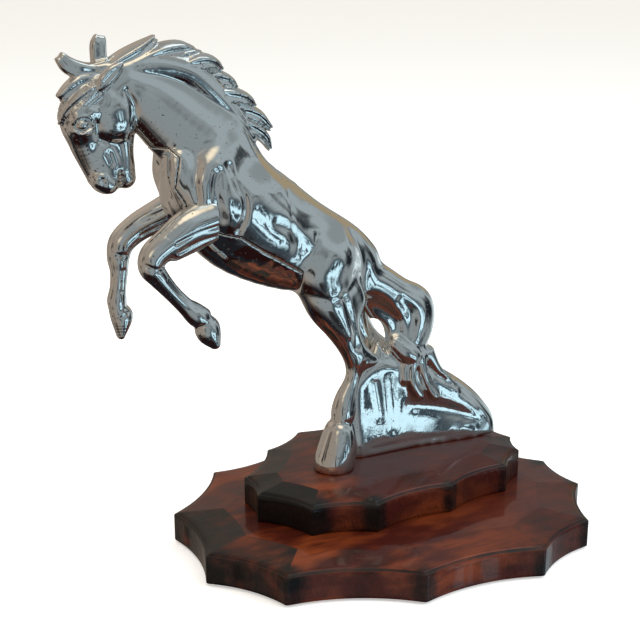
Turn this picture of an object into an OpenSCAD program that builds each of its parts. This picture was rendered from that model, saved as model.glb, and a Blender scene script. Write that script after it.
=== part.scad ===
// A rearing-horse hood ornament in plated die casting, mounted on a two-board
// wooden plinth. Millimetres, +Z up. The horse faces -X and its left side
// faces -Y. The origin is the centre of the felt face that it rests on.

/* [Plinths] */
// Thickness of each plinth board
board_t = 19; // [16:1:22]
// Height of the stepped lip along the top edge of a board
lip_h = 3; // [2:0.5:4]
// Width of the stepped lip
lip_w = 1.6; // [1:0.2:2]
// Fall of the hollowed facets towards the edge of the board
facet_fall = 2.2; // [0.6:0.2:2.6]
// Width of the hollowed facets on the lower board
lower_facet_w = 22; // [10:1:24]
// Width of the hollowed facets on the upper board
upper_facet_w = 14; // [8:1:16]
// How deep each scallop is, as a share of its length
scallop_depth = 0.085; // [0.05:0.005:0.1]

/* [Felt] */
// Thickness of the felt under the lower plinth
felt_t = 1.5; // [1:0.5:3]
// How far the felt stays inside the edge of the board
felt_inset = 5; // [4:1:10]

/* [Fasteners] */
// Diameter of the two threaded studs
stud_d = 6.35; // [5:0.05:6.5]
// How far the studs stand above the upper plinth, inside the casting
stud_reach = 15; // [12:1:17]
// Width of the stud nuts across their flats
nut_flats = 11.1; // [10:0.1:12]
// Thickness of the stud nuts
nut_t = 5.6; // [5:0.1:6]
// Outer diameter of the flat washers
washer_d = 16; // [14:1:17]
// Thickness of each washer
washer_t = 1.6; // [1:0.1:1.8]
// Shank diameter of the plinth screws
screw_d = 4.2; // [3.5:0.1:5]
// Length of the plinth screws
screw_l = 31; // [28:1:34]

/* [Casting] */
// Wall of the belly and of the hollow foot
wall = 3; // [2.5:0.25:3.5]
// Gap along the edge of the belly plate
seam = 0.15; // [0.1:0.05:0.3]
// Diameter of the spigots on the forelegs
spigot_d = 7; // [5:0.5:7.5]

/* [Hidden] */

ball_fn = 16;     // sides of the balls that the casting is shaped from
round_fn = 48;    // sides of turned parts
arc_fn = 180;     // sides of the large scallop cutters
over = 1;         // how far a cutter runs past the face that it cuts

lower_z = felt_t;
upper_z = lower_z + board_t;
deck_z = upper_z + board_t;
horse_y = 27;     // the horse stands behind the middle of the plinth

stud_xs = [28, 56];
counterbore_h = 10;
counterbore_d = washer_d + 2;
stud_hole_d = stud_d + 0.7;
washer_z = upper_z + counterbore_h - washer_t;
lock_z = washer_z - washer_t;
nut_z = lock_z - nut_t;
stud_z = nut_z - 1;

screw_head_d = 8.4;
screw_head_h = 3.4;
screw_sink = 0.6;
screw_xy = [[-42, 2], [58, -4], [58, 46], [-34, 48]];

// Corners of the two boards, counterclockwise seen from above
lower_corners = [
    [-116, -12], [-88, -52], [-22, -82], [49, -87], [91, -70], [116, -28],
    [117, 8], [92, 52], [30, 84], [-24, 92], [-71, 85], [-113, 43]];
upper_corners = [
    [-77, 7], [-58, -22], [-24, -34], [25, -31], [67, -23], [87, -7],
    [94, 12], [90, 38], [70, 66], [30, 78], [-18, 77], [-46, 61], [-74, 32]];

// ---- Scalloped boards --------------------------------------------------

// Radius of the arc that cuts a scallop as deep as its share of the chord
function scallop_r(len) = len * (1 / (8 * scallop_depth) + scallop_depth / 2);

// Runs its children at the centre of each scallop's cutting arc
module each_scallop(corners) {
    n = len(corners);
    for (i = [0 : n - 1]) {
        a = corners[i];
        b = corners[(i + 1) % n];
        run = b - a;
        len = norm(run);
        $r = scallop_r(len);
        out = [run[1], -run[0]] / len;
        centre = (a + b) / 2 + out * ($r - scallop_depth * len);
        translate([centre[0], centre[1], 0]) children();
    }
}

module scalloped_slab(corners, t, inset = 0) {
    difference() {
        linear_extrude(t) polygon(corners);
        each_scallop(corners)
            translate([0, 0, -over]) cylinder(r = $r + inset, h = t + 2 * over, $fn = arc_fn);
    }
}

// A board with a stepped lip and hollowed facets along its top edge
module board(corners, facet_w) {
    difference() {
        scalloped_slab(corners, board_t);
        each_scallop(corners)
            translate([0, 0, board_t - lip_h]) cylinder(r = $r + lip_w, h = lip_h + over, $fn = arc_fn);
        each_scallop(corners)
            translate([0, 0, board_t - facet_fall])
                cylinder(r1 = $r + lip_w, r2 = $r + lip_w + facet_w, h = facet_fall, $fn = arc_fn);
    }
}

module upper_plinth() {
    color("saddlebrown")
    difference() {
        translate([0, 0, upper_z]) board(upper_corners, upper_facet_w);
        for (x = stud_xs) translate([x, horse_y, upper_z - over]) {
            cylinder(d = stud_hole_d, h = board_t + 2 * over, $fn = round_fn);
            cylinder(d = counterbore_d, h = counterbore_h + over, $fn = round_fn);
        }
        for (p = screw_xy) translate([p[0], p[1], lower_z + screw_sink])
            cylinder(d = screw_d, h = screw_l, $fn = round_fn);
    }
}

module lower_plinth() {
    color("saddlebrown")
    difference() {
        translate([0, 0, lower_z]) board(lower_corners, lower_facet_w);
        for (p = screw_xy) translate([p[0], p[1], lower_z]) {
            translate([0, 0, -over]) cylinder(d = screw_d + 0.4, h = board_t + 2 * over, $fn = round_fn);
            translate([0, 0, -over]) cylinder(d = screw_head_d, h = screw_sink + over, $fn = round_fn);
            translate([0, 0, screw_sink])
                cylinder(d1 = screw_head_d, d2 = screw_d, h = screw_head_h, $fn = round_fn);
        }
    }
}

module felt_base() {
    color("darkgreen") scalloped_slab(lower_corners, felt_t, felt_inset);
}

// ---- Fasteners ---------------------------------------------------------

module plinth_screw(p) {
    tip_h = 5;
    slot_w = 1.2;
    color("goldenrod")
    translate([p[0], p[1], lower_z + screw_sink])
    difference() {
        union() {
            cylinder(d1 = screw_head_d, d2 = screw_d, h = screw_head_h, $fn = round_fn);
            cylinder(d = screw_d, h = screw_l - tip_h, $fn = round_fn);
            translate([0, 0, screw_l - tip_h]) cylinder(d1 = screw_d, d2 = 1, h = tip_h, $fn = round_fn);
        }
        for (a = [0, 90]) rotate(a)
            translate([-2.2, -slot_w / 2, -over]) cube([4.4, slot_w, over + 1.8]);
    }
}

module stud(x) {
    tip = 1;
    color("silver")
    translate([x, horse_y, stud_z]) {
        cylinder(d1 = stud_d - 2 * tip, d2 = stud_d, h = tip, $fn = round_fn);
        translate([0, 0, tip]) cylinder(d = stud_d, h = deck_z + stud_reach - stud_z - tip, $fn = round_fn);
    }
}

module flat_washer(x) {
    color("silver")
    translate([x, horse_y, washer_z]) difference() {
        cylinder(d = washer_d, h = washer_t, $fn = round_fn);
        translate([0, 0, -over]) cylinder(d = stud_hole_d, h = washer_t + 2 * over, $fn = round_fn);
    }
}

// A split spring washer, with its cut across one side
module lock_washer(x) {
    ring_d = stud_d + 5.4;
    cut = 1;
    color("dimgray")
    translate([x, horse_y, lock_z]) difference() {
        cylinder(d = ring_d, h = washer_t, $fn = round_fn);
        translate([0, 0, -over]) cylinder(d = stud_d + 0.3, h = washer_t + 2 * over, $fn = round_fn);
        translate([0, -cut / 2, -over]) cube([ring_d, cut, washer_t + 2 * over]);
    }
}

module nut(x) {
    color("silver")
    translate([x, horse_y, nut_z]) difference() {
        cylinder(d = nut_flats / cos(30), h = nut_t, $fn = 6);
        translate([0, 0, -over]) cylinder(d = stud_d, h = nut_t + 2 * over, $fn = round_fn);
    }
}

// ---- Horse -------------------------------------------------------------
// The horse is shaped in its own frame: x along the body, y out from its
// middle plane and z up from the top of the upper plinth. Each ball below
// is [x, y, z, radius, half width].

module at_horse() {
    translate([0, horse_y, deck_z]) children();
}

module ball(b) {
    translate([b[0], b[1], b[2]]) scale([1, b[4] / b[3], 1]) sphere(r = b[3], $fn = ball_fn);
}

// Rounded solid that runs through a list of balls
module limb(balls) {
    for (i = [0 : len(balls) - 2]) hull() {
        ball(balls[i]);
        ball(balls[i + 1]);
    }
}

// The same balls on the other side of the middle plane
function far_side(balls) = [for (b = balls) [b[0], -b[1], b[2], b[3], b[4]]];

// The same balls made thinner by one wall
function cored(balls, t) = [for (b = balls) [b[0], b[1], b[2], b[3] - t, b[4] - t]];

torso = [
    [-19, 0, 122, 21, 18], [-46, 0, 132, 27, 20], [-73, 0, 149, 31, 22], [-89, 0, 164, 28, 20]];
neck = [
    [-89, 0, 164, 28, 20], [-91, 0, 186, 24, 15], [-108, 0, 202, 21, 12], [-122, 0, 214, 17, 10],
    [-135, 0, 220, 12, 8]];
skull = [
    [-135, 0, 220, 12, 8], [-142, 0, 209, 14, 10], [-155, 0, 203, 11, 9], [-151, 0, 188, 9, 7],
    [-145, 0, 177, 8, 7]];
jaw = [[-140, 0, 200, 11, 8], [-137, 0, 187, 7, 6], [-137, 0, 174, 5, 5]];
ears = [[-138, -6, 226, 4, 3], [-133, -8, 231, 4, 2.5], [-130, -8, 233, 2, 2]];
crest = [
    [-134, 0, 230, 7, 4], [-120, 0, 231, 10, 5], [-101, 0, 225, 12, 5], [-87, 0, 215, 12, 5],
    [-74, 0, 201, 11, 5], [-65, 0, 188, 7, 4]];
// Root and tip of each lock of the mane, front to back
locks = [
    [[-134, 0, 228, 6, 4], [-121, 0, 242, 3, 3]],
    [[-122, 0, 232, 7, 4], [-103, 0, 237, 3, 3]],
    [[-110, 0, 226, 7, 4], [-88, 0, 230, 3, 3]],
    [[-98, 0, 220, 8, 4], [-78, 0, 219, 3, 3]],
    [[-86, 0, 212, 8, 4], [-67, 0, 207, 3, 3]],
    [[-77, 0, 203, 8, 4], [-59, 0, 197, 3, 3]],
    [[-70, 0, 194, 8, 4], [-59, 0, 187, 4, 3]]];
forelock = [
    [[-142, 0, 226, 6, 5], [-148, 3, 240, 3, 3]],
    [[-148, 0, 220, 7, 6], [-164, -2, 236, 3, 3]],
    [[-152, 0, 213, 7, 6], [-169, -3, 219, 3, 3]]];
croup = [[-27, -7, 121, 19, 13], [-32, -10, 113, 16, 11]];
thigh = [[-31, -11, 112, 16, 11], [-25, -12, 92, 13, 9], [-12, -12, 70, 9, 7]];
cannon = [
    [-8, -11, 62, 8, 6], [-12, -11, 50, 5.5, 5], [-16, -11, 38, 5.5, 5], [-18, -11, 29, 8, 7.5]];
hind_hoof = [[-18, -11, 27, 7.5, 7.5], [-21, -11, 3, 11, 9.5]];
// The far hind leg stands this much further back than the near one
hind_step = 19;
tail = [
    [0, 0, 108, 13, 11], [16, 0, 94, 12, 9], [32, 0, 85, 13, 9], [32, 0, 73, 14, 9],
    [31, 0, 60, 12, 9], [32, 0, 48, 11, 10]];
// Stations along the foot: [x, ridge height, ridge radius, half width at the ground]
foot_stations = [
    [-4, 42, 7, 8], [10, 57, 7, 8], [27, 54, 8, 8.5], [44, 47, 8, 10], [62, 32, 8, 13.5], [77, 15, 8, 14]];
foreleg_near = [
    [-98, -15, 152, 13, 9], [-115, -18, 146, 10, 8], [-130, -20, 136, 8, 7], [-127, -20, 128, 6, 5.5],
    [-118, -20, 118, 4.5, 4.5], [-110, -20, 109, 5.5, 5], [-105, -20, 101, 4, 4]];
foreleg_far = [
    [-104, 14, 154, 12, 9], [-122, 17, 146, 9, 8], [-134, 18, 134, 8, 7], [-136, 18, 126, 6, 5.5],
    [-138, 18, 114, 4.5, 4.5], [-139, 18, 105, 5.5, 5], [-139, 18, 98, 4, 4]];
foot_lip_t = 3.5;
spigot_l = 12;
near_spigot = [-93, -14, 154];
far_spigot = [-98, 14, 157];
near_hoof = [[-105, -20, 99, 4.5, 4.5], [-102, -20, 93, 5.5, 5.5], [-100, -20, 89, 3, 3.5]];
far_hoof = [[-139, 18, 97, 4.5, 4.5], [-138, 18, 91, 5.5, 5.5], [-136, 18, 86, 3, 3.5]];

module torso_solid() {
    limb(torso);
    limb(neck);
}

// The hollow inside the chest and belly
module torso_core() {
    limb([for (b = cored(torso, wall)) if (b[0] < -30) b]);
}

// The block whose faces are the seams around the chest and belly plate
module belly_block(gap) {
    rotate([90, 0, 0]) linear_extrude(60, center = true) offset(delta = -gap)
        polygon([
            [-127, 85], [-47, 85], [-47, 119], [-71, 134], [-83, 143], [-94, 146], [-110, 158],
            [-112, 164], [-116, 171], [-115, 178], [-113, 186], [-117, 190.5], [-127, 190.5]]);
}

// One cross-section of the foot: a disc on the ground under a ball on the ridge
module foot_station(s) {
    translate([s[0], 0, 0]) cylinder(r = s[3], h = foot_lip_t, $fn = 24);
    ball([s[0], 0, s[1] - s[2], s[2], s[2]]);
}

module foot() {
    for (i = [0 : len(foot_stations) - 2]) hull() {
        foot_station(foot_stations[i]);
        foot_station(foot_stations[i + 1]);
    }
}

// The hollow under the foot, one wall inside it
module foot_core() {
    for (i = [1 : len(foot_stations) - 2]) hull() for (s = [foot_stations[i], foot_stations[i + 1]])
        translate([s[0] - 2, 0, -over]) {
            cylinder(r = s[3] - wall - 1, h = over, $fn = 24);
            translate([0, 0, s[1] / 2]) cylinder(r = s[2] - wall - 1, h = s[1] / 6, $fn = 24);
        }
}

// Solid bosses that the studs screw into
module stud_bosses() {
    for (x = stud_xs) translate([x, 0, 0]) cylinder(d = stud_d + 6, h = stud_reach * 2, $fn = 24);
}

module stud_sockets() {
    for (x = stud_xs) translate([x, 0, -over]) cylinder(d = stud_d + 0.2, h = stud_reach + over, $fn = round_fn);
}

module spigot(p, d) {
    translate(p) rotate([90, 0, 0]) cylinder(d = d, h = spigot_l, center = true, $fn = 24);
}

module horse_casting() {
    color("silver") at_horse() {
        difference() {
            union() {
                torso_solid();
                limb(skull);
                limb(jaw);
                limb(ears);
                limb(crest);
                for (l = locks) limb(l);
                for (l = forelock) limb(l);
                limb(croup);
                limb(far_side(croup));
                for (leg = [thigh, cannon, hind_hoof]) {
                    limb(leg);
                    translate([hind_step, 0, 0]) limb(far_side(leg));
                }
                limb(tail);
                foot();
            }
            torso_core();
            belly_block(0);
            translate([-60, -30, -20]) cube([160, 60, 20]);
            difference() {
                foot_core();
                stud_bosses();
            }
            stud_sockets();
            for (p = [near_spigot, far_spigot]) spigot(p, spigot_d + 0.2);
        }
    }
}

module belly_plate() {
    color("silver") at_horse() difference() {
        intersection() {
            torso_solid();
            belly_block(seam);
        }
        torso_core();
    }
}

// A foreleg whose root follows the side of the chest, with its spigot
module foreleg(balls, hoof, root) {
    color("silver") at_horse() {
        difference() {
            union() {
                limb(balls);
                limb(hoof);
            }
            torso_solid();
        }
        spigot(root, spigot_d);
    }
}

module near_foreleg() { foreleg(foreleg_near, near_hoof, near_spigot); }
module far_foreleg() { foreleg(foreleg_far, far_hoof, far_spigot); }

horse_casting();
belly_plate();
near_foreleg();
far_foreleg();
stud(stud_xs[0]);  // front_stud
stud(stud_xs[1]);  // rear_stud
flat_washer(stud_xs[0]);  // front_flat_washer
flat_washer(stud_xs[1]);  // rear_flat_washer
lock_washer(stud_xs[0]);  // front_lock_washer
lock_washer(stud_xs[1]);  // rear_lock_washer
nut(stud_xs[0]);  // front_nut
nut(stud_xs[1]);  // rear_nut
upper_plinth();
lower_plinth();
plinth_screw(screw_xy[0]);  // plinth_screw_1
plinth_screw(screw_xy[1]);  // plinth_screw_2
plinth_screw(screw_xy[2]);  // plinth_screw_3
plinth_screw(screw_xy[3]);  // plinth_screw_4
felt_base();
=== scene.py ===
"""Visual model of a rearing-horse hood ornament, bright plated, on a stepped wooden plinth.

The horse's castings are sculpted as fields of signed distance, in millimetres, and skinned
with a fine mesh. The boards, felt and fasteners are built as meshes and Geometry Nodes.
"""
import logging
import math
from collections.abc import Iterator, Sequence
from dataclasses import dataclass, replace
from enum import IntEnum

import bpy
import numpy as np
from mathutils import Matrix, Vector
from mathutils.geometry import delaunay_2d_cdt


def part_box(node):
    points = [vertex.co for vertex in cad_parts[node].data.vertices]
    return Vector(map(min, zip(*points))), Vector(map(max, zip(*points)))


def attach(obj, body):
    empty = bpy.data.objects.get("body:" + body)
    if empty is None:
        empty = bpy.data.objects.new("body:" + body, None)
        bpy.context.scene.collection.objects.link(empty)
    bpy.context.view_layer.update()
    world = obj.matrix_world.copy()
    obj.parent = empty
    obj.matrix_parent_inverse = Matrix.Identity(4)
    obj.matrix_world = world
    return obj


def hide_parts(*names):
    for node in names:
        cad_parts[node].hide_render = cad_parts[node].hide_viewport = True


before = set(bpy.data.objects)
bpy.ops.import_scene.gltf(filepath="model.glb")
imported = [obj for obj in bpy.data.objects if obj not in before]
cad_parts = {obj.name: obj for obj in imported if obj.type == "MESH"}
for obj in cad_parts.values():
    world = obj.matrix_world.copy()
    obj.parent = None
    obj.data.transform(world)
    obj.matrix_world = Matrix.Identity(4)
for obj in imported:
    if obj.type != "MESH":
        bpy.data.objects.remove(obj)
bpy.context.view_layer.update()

MM = 0.001
LOG = logging.getLogger("ornament")

Station = tuple[float, float, float, float, float]
Run = tuple[Station, ...]
Point = tuple[float, float, float]
COARSER = 1.0
MELT = 1.1


class Side(IntEnum):
    """The two sides of the horse, as the sign of y."""

    NEAR = -1
    FAR = 1


# ---- Sculpting ---------------------------------------------------------------------------


def spline(points: Sequence[tuple[float, ...]], steps: int) -> np.ndarray:
    """Runs a smooth curve through every point.

    Args:
        points: Rows of numbers, all of one length.
        steps: How many pieces each stretch between two points becomes.

    Returns:
        The rows along the curve, the first and last points included.
    """
    p = np.array(points, dtype=float)
    if len(p) < 3 or steps < 2:
        return p
    ends = np.vstack([2 * p[0] - p[1], p, 2 * p[-1] - p[-2]])
    rows = []
    for i in range(len(p) - 1):
        a, b, c, d = ends[i:i + 4]
        for t in np.linspace(0, 1, steps, endpoint=False):
            rows.append(0.5 * (2 * b + (c - a) * t + (2 * a - 5 * b + 4 * c - d) * t ** 2
                               + (3 * b - a - 3 * c + d) * t ** 3))
    rows.append(p[-1])
    return np.array(rows)


@dataclass(frozen=True)
class Limb:
    """A rounded form that runs through balls: x, y, z, radius and half width, in millimetres."""

    stations: Sequence[Station]
    blend: float = 3.0
    strands: float = 0.0
    depth: float = 0.0
    steps: int = 5

    def mirrored(self, shift: float = 0.0) -> "Limb":
        """Gives the same limb on the far side, moved back by shift."""
        return replace(self, stations=[(x + shift, -y, z, r, w) for x, y, z, r, w in self.stations])


@dataclass(frozen=True)
class Groove:
    """A soft furrow along a path; a negative depth raises a ridge instead."""

    path: list[Point]
    width: float
    depth: float
    both_sides: bool = False

    def mirrored(self, shift: float = 0.0) -> "Groove":
        """Gives the same furrow on the far side, moved back by shift."""
        return replace(self, path=[(x + shift, -y, z) for x, y, z in self.path])

    def sides(self) -> list["Groove"]:
        """Gives the furrow, with its mirror image if it has one."""
        return [self, self.mirrored()] if self.both_sides else [self]


def spacing(stretches: list[tuple[float, float, float]]) -> np.ndarray:
    """Lays out the grid lines of one axis.

    Args:
        stretches: From, to and the step between lines, for stretches that follow each other.

    Returns:
        The place of every grid line.
    """
    lines = [np.array([stretches[0][0]])]
    for low, high, step in stretches:
        count = max(2, round((high - low) / step))
        lines.append(np.linspace(low, high, count + 1)[1:])
    return np.concatenate(lines)


class Clay:
    """A block of space on a grid that holds the distance to the surface in millimetres."""

    FAR = 9.0  # The distance far from any limb
    LEEWAY = 2.0  # How far outside a limb's fillet the field is still measured
    FADE = 2.4  # How many widths from its path a furrow fades out
    STEPS = 6  # Pieces of a furrow's path between two points

    def __init__(self, xs: np.ndarray, ys: np.ndarray, zs: np.ndarray) -> None:
        """Starts an empty block on the given grid lines."""
        self.axes = (xs, ys, zs)
        self.field = np.full((len(xs), len(ys), len(zs)), self.FAR, dtype=np.float32)

    def window(self, low: np.ndarray, high: np.ndarray, outer: tuple[slice, ...] | None = None
               ) -> tuple[tuple[slice, ...], list[np.ndarray]]:
        """Finds the part of the grid between two corners.

        Args:
            low: The lowest corner.
            high: The highest corner.
            outer: A window that this one stays inside, and whose start its slices count from.

        Returns:
            The slices and the three coordinate arrays, ready to broadcast.
        """
        cuts, grids = [], []
        for axis, (line, lo, hi) in enumerate(zip(self.axes, low, high)):
            a, b = np.searchsorted(line, [lo, hi])
            start, stop = (outer[axis].start, outer[axis].stop) if outer else (0, len(line))
            first = min(max(a - 1, start), stop)
            last = max(min(b + 1, stop), first)
            shape = [1, 1, 1]
            shape[axis] = -1
            grids.append(line[first:last].astype(np.float32).reshape(shape))
            cuts.append(slice(first - start, last - start) if outer else slice(first, last))
        return tuple(cuts), grids

    def stretches(self, rows: np.ndarray, pads: np.ndarray, outer: tuple[slice, ...]) -> Iterator[tuple]:
        """Walks a path stretch by stretch.

        Args:
            rows: The path, with x, y and z first in each row.
            pads: How far round each stretch to look.
            outer: The window that the stretches' own windows stay inside.

        Yields:
            The two end rows, the window, the step between the ends, the grid points' offsets
            from the first end, and how far along each point lies, from 0 to 1.
        """
        for a, b, pad in zip(rows[:-1], rows[1:], pads):
            low, high = np.minimum(a, b)[:3] - pad, np.maximum(a, b)[:3] + pad
            inner, grids = self.window(low, high, outer)
            along = b[:3] - a[:3]
            size = max(float(along @ along), 1e-6)
            dx, dy, dz = (grid - origin for grid, origin in zip(grids, a))
            t = np.clip((dx * along[0] + dy * along[1] + dz * along[2]) / size, 0, 1)
            yield a, b, inner, along, (dx, dy, dz), t

    def limb_field(self, limb: Limb) -> tuple[tuple[slice, ...], np.ndarray]:
        """Measures the distance to one limb, with its strands, in the window around it."""
        rows = spline(limb.stations, limb.steps)
        pad = limb.blend + self.LEEWAY
        reach = rows[:, 3] + pad
        outer, _ = self.window((rows[:, :3] - reach[:, None]).min(0), (rows[:, :3] + reach[:, None]).max(0))
        shape = tuple(s.stop - s.start for s in outer)
        best = np.full(shape, self.FAR, dtype=np.float32)
        pads = np.maximum(reach[:-1], reach[1:])
        for a, b, inner, along, (dx, dy, dz), t in self.stretches(rows, pads, outer):
            r = a[3] + (b[3] - a[3]) * t
            squash = r / (a[4] + (b[4] - a[4]) * t)
            ox, oy, oz = dx - along[0] * t, (dy - along[1] * t) * squash, dz - along[2] * t
            gap = np.sqrt(ox * ox + oy * oy + oz * oz) - r
            if limb.strands:
                flat = math.hypot(along[0], along[2]) or 1.0
                across = (dx * along[2] - dz * along[0]) / (flat * r)
                ripple = np.cos(across * math.pi * limb.strands) + 1
                gap = gap + limb.depth * ripple * np.exp(-np.abs(gap) / 2)
            part = best[inner]
            np.minimum(part, gap, out=part)
        return outer, best

    def add(self, limb: Limb) -> None:
        """Joins a limb to the clay with a rounded fillet."""
        cuts, gap = self.limb_field(limb)
        self.field[cuts] = self.smooth_min(self.field[cuts], gap, limb.blend)

    def cut(self, limb: Limb) -> None:
        """Takes a limb's shape out of the clay."""
        cuts, gap = self.limb_field(limb)
        self.field[cuts] = -self.smooth_min(-self.field[cuts], gap, limb.blend)

    def press(self, groove: Groove) -> None:
        """Presses a furrow, or raises a ridge, along a path."""
        for one in groove.sides():
            rows = spline(one.path, self.STEPS)
            reach = one.width * self.FADE
            low, high = rows.min(0) - reach, rows.max(0) + reach
            outer, _ = self.window(low, high)
            near = np.full(tuple(s.stop - s.start for s in outer), reach * reach, dtype=np.float32)
            pads = np.full(len(rows) - 1, reach)
            for _, _, inner, along, (dx, dy, dz), t in self.stretches(rows, pads, outer):
                gap = (dx - along[0] * t) ** 2 + (dy - along[1] * t) ** 2 + (dz - along[2] * t) ** 2
                part = near[inner]
                np.minimum(part, gap, out=part)
            self.field[outer] += one.depth * np.exp(-near / one.width ** 2)

    def lines(self) -> list[np.ndarray]:
        """Gives the grid's x, y and z as arrays that broadcast over the field."""
        return [line.astype(np.float32).reshape([-1 if m == axis else 1 for m in range(3)])
                for axis, line in enumerate(self.axes)]

    def keep(self, other: np.ndarray) -> None:
        """Keeps only the clay that is also inside another field."""
        np.maximum(self.field, other.astype(np.float32), out=self.field)

    def soften(self, spread: float) -> None:
        """Blurs the field over about spread millimetres, which rounds creases off."""
        for axis, line in enumerate(self.axes):
            field = np.moveaxis(self.field, axis, 0)
            rounds = max(1, round(2 * (spread / float(np.median(np.diff(line)))) ** 2))
            for _ in range(rounds):
                field[1:-1] += 0.25 * (field[:-2] + field[2:] - 2 * field[1:-1])

    @staticmethod
    def smooth_min(a: np.ndarray, b: np.ndarray, blend: float) -> np.ndarray:
        """Joins two fields with a fillet of about the given size."""
        if blend <= 0:
            return np.minimum(a, b)
        h = np.maximum(blend - np.abs(a - b), 0) / blend
        return np.minimum(a, b) - h * h * blend * 0.25

    def sample(self, points: np.ndarray) -> np.ndarray:
        """Reads the field between its grid points."""
        low, part = [], []
        for m, line in enumerate(self.axes):
            spot = np.interp(points[:, m], line, np.arange(len(line)))
            low.append(np.minimum(spot.astype(int), len(line) - 2))
            part.append(spot - low[-1])
        total = np.zeros(len(points))
        for i, j, k in np.ndindex(2, 2, 2):
            weight = (part[0] if i else 1 - part[0]) * (part[1] if j else 1 - part[1]) * (
                part[2] if k else 1 - part[2])
            total += weight * self.field[low[0] + i, low[1] + j, low[2] + k]
        return total

    def settle(self, verts: np.ndarray, reach: float = 0.5) -> np.ndarray:
        """Moves each vertex along the field's slope onto the surface itself."""
        slope = np.stack([self.sample(verts + step) - self.sample(verts - step)
                          for step in np.eye(3) * reach], 1) / (2 * reach)
        steep = np.maximum((slope ** 2).sum(1), 0.05)
        move = -slope * (self.sample(verts) / steep)[:, None]
        return verts + np.clip(move, -reach, reach)

    def cast(self) -> tuple[np.ndarray, np.ndarray]:
        """Skins the clay, evens the skin out and settles it back on the surface."""
        verts, quads = self.skin()
        for _ in range(2):
            verts = self.settle(relax(verts, quads))
        return verts, quads

    def skin(self) -> tuple[np.ndarray, np.ndarray]:
        """Wraps the clay's surface in quads, one vertex in each cell that the surface crosses.

        Returns:
            The vertices in millimetres and the quads, facing outwards.
        """
        f = np.pad(self.field, 1, constant_values=self.FAR)
        axes = [np.concatenate([[2 * a[0] - a[1]], a, [2 * a[-1] - a[-2]]]) for a in self.axes]
        inside = f < 0
        crowd = np.zeros(tuple(n - 1 for n in f.shape), dtype=np.int8)
        corners = [(i, j, k) for i in (0, 1) for j in (0, 1) for k in (0, 1)]
        n = crowd.shape
        for i, j, k in corners:
            crowd += inside[i:i + n[0], j:j + n[1], k:k + n[2]]
        cells = np.argwhere((crowd > 0) & (crowd < 8))
        ticket = np.full(crowd.shape, -1, dtype=np.int32)
        ticket[tuple(cells.T)] = np.arange(len(cells))
        value = {c: f[cells[:, 0] + c[0], cells[:, 1] + c[1], cells[:, 2] + c[2]] for c in corners}
        total = np.zeros((len(cells), 3))
        count = np.zeros(len(cells))
        for c in corners:
            for axis in range(3):
                if c[axis]:
                    continue
                d = tuple(v + (m == axis) for m, v in enumerate(c))
                crossed = (value[c] < 0) != (value[d] < 0)
                t = np.where(crossed, value[c] / np.where(crossed, value[c] - value[d], 1), 0)
                spot = np.tile(np.array(c, dtype=float), (len(cells), 1))
                spot[:, axis] += t
                total += spot * crossed[:, None]
                count += crossed
        place = cells + total / count[:, None]
        verts = np.stack([np.interp(place[:, m], np.arange(len(axes[m])), axes[m]) for m in range(3)], 1)
        quads = []
        for axis in range(3):
            u, v = (axis + 1) % 3, (axis + 2) % 3
            low = np.moveaxis(inside, axis, 0)[:-1]
            high = np.moveaxis(inside, axis, 0)[1:]
            for sign, hit in ((1, low & ~high), (-1, ~low & high)):
                spots = np.argwhere(hit)
                edge = np.zeros((len(spots), 3), dtype=int)
                others = [m for m in range(3) if m != axis]
                edge[:, axis] = spots[:, 0]
                edge[:, others[0]] = spots[:, 1]
                edge[:, others[1]] = spots[:, 2]
                ring = []
                for du, dv in ((-1, -1), (0, -1), (0, 0), (-1, 0)):
                    cell = edge.copy()
                    cell[:, u] += du
                    cell[:, v] += dv
                    ring.append(ticket[tuple(cell.T)])
                quad = np.stack(ring, 1)
                quads.append(quad if sign > 0 else quad[:, ::-1])
        return verts, np.concatenate(quads)


def relax(verts: np.ndarray, quads: np.ndarray) -> np.ndarray:
    """Evens out a skin by moving each vertex halfway to the middle of its neighbours.

    Args:
        verts: The vertices.
        quads: The quads that join them.

    Returns:
        The moved vertices.
    """
    a = quads.ravel()
    b = np.roll(quads, -1, axis=1).ravel()
    count = np.bincount(a, minlength=len(verts)) + np.bincount(b, minlength=len(verts))
    mean = np.stack([np.bincount(a, verts[b, m], len(verts)) + np.bincount(b, verts[a, m], len(verts))
                     for m in range(3)], 1) / count[:, None]
    return (verts + mean) / 2


def polygon_field(points: list[tuple[float, float]], x: np.ndarray, z: np.ndarray) -> np.ndarray:
    """Measures the distance to the edge of a polygon in the x-z plane, negative inside."""
    corners = np.array(points, dtype=float)
    best = np.full(np.broadcast(x, z).shape, 1e9)
    inside = np.zeros(best.shape, dtype=bool)
    for (ax, az), (bx, bz) in zip(corners, np.roll(corners, -1, axis=0)):
        ex, ez = bx - ax, bz - az
        t = np.clip(((x - ax) * ex + (z - az) * ez) / (ex * ex + ez * ez), 0, 1)
        best = np.minimum(best, np.hypot(x - ax - ex * t, z - az - ez * t))
        if az != bz:
            inside ^= ((az > z) != (bz > z)) & (x < (bx - ax) * (z - az) / (bz - az) + ax)
    return np.where(inside, -best, best)


def make_object(name: str, verts: np.ndarray, faces: list | np.ndarray,
                smooth: bool = True) -> bpy.types.Object:
    """Makes a mesh object at the origin.

    Args:
        name: The piece's name.
        verts: Its vertices in metres.
        faces: Its faces, as rows of vertex numbers.
        smooth: Whether it is shaded smooth.

    Returns:
        The object, linked to the scene.
    """
    mesh = bpy.data.meshes.new(name)
    mesh.from_pydata([tuple(v) for v in verts], [], [tuple(int(i) for i in f) for f in faces])
    mesh.validate()
    mesh.polygons.foreach_set("use_smooth", [smooth] * len(mesh.polygons))
    mesh.update()
    obj = bpy.data.objects.new(name, mesh)
    bpy.context.scene.collection.objects.link(obj)
    return obj


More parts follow.
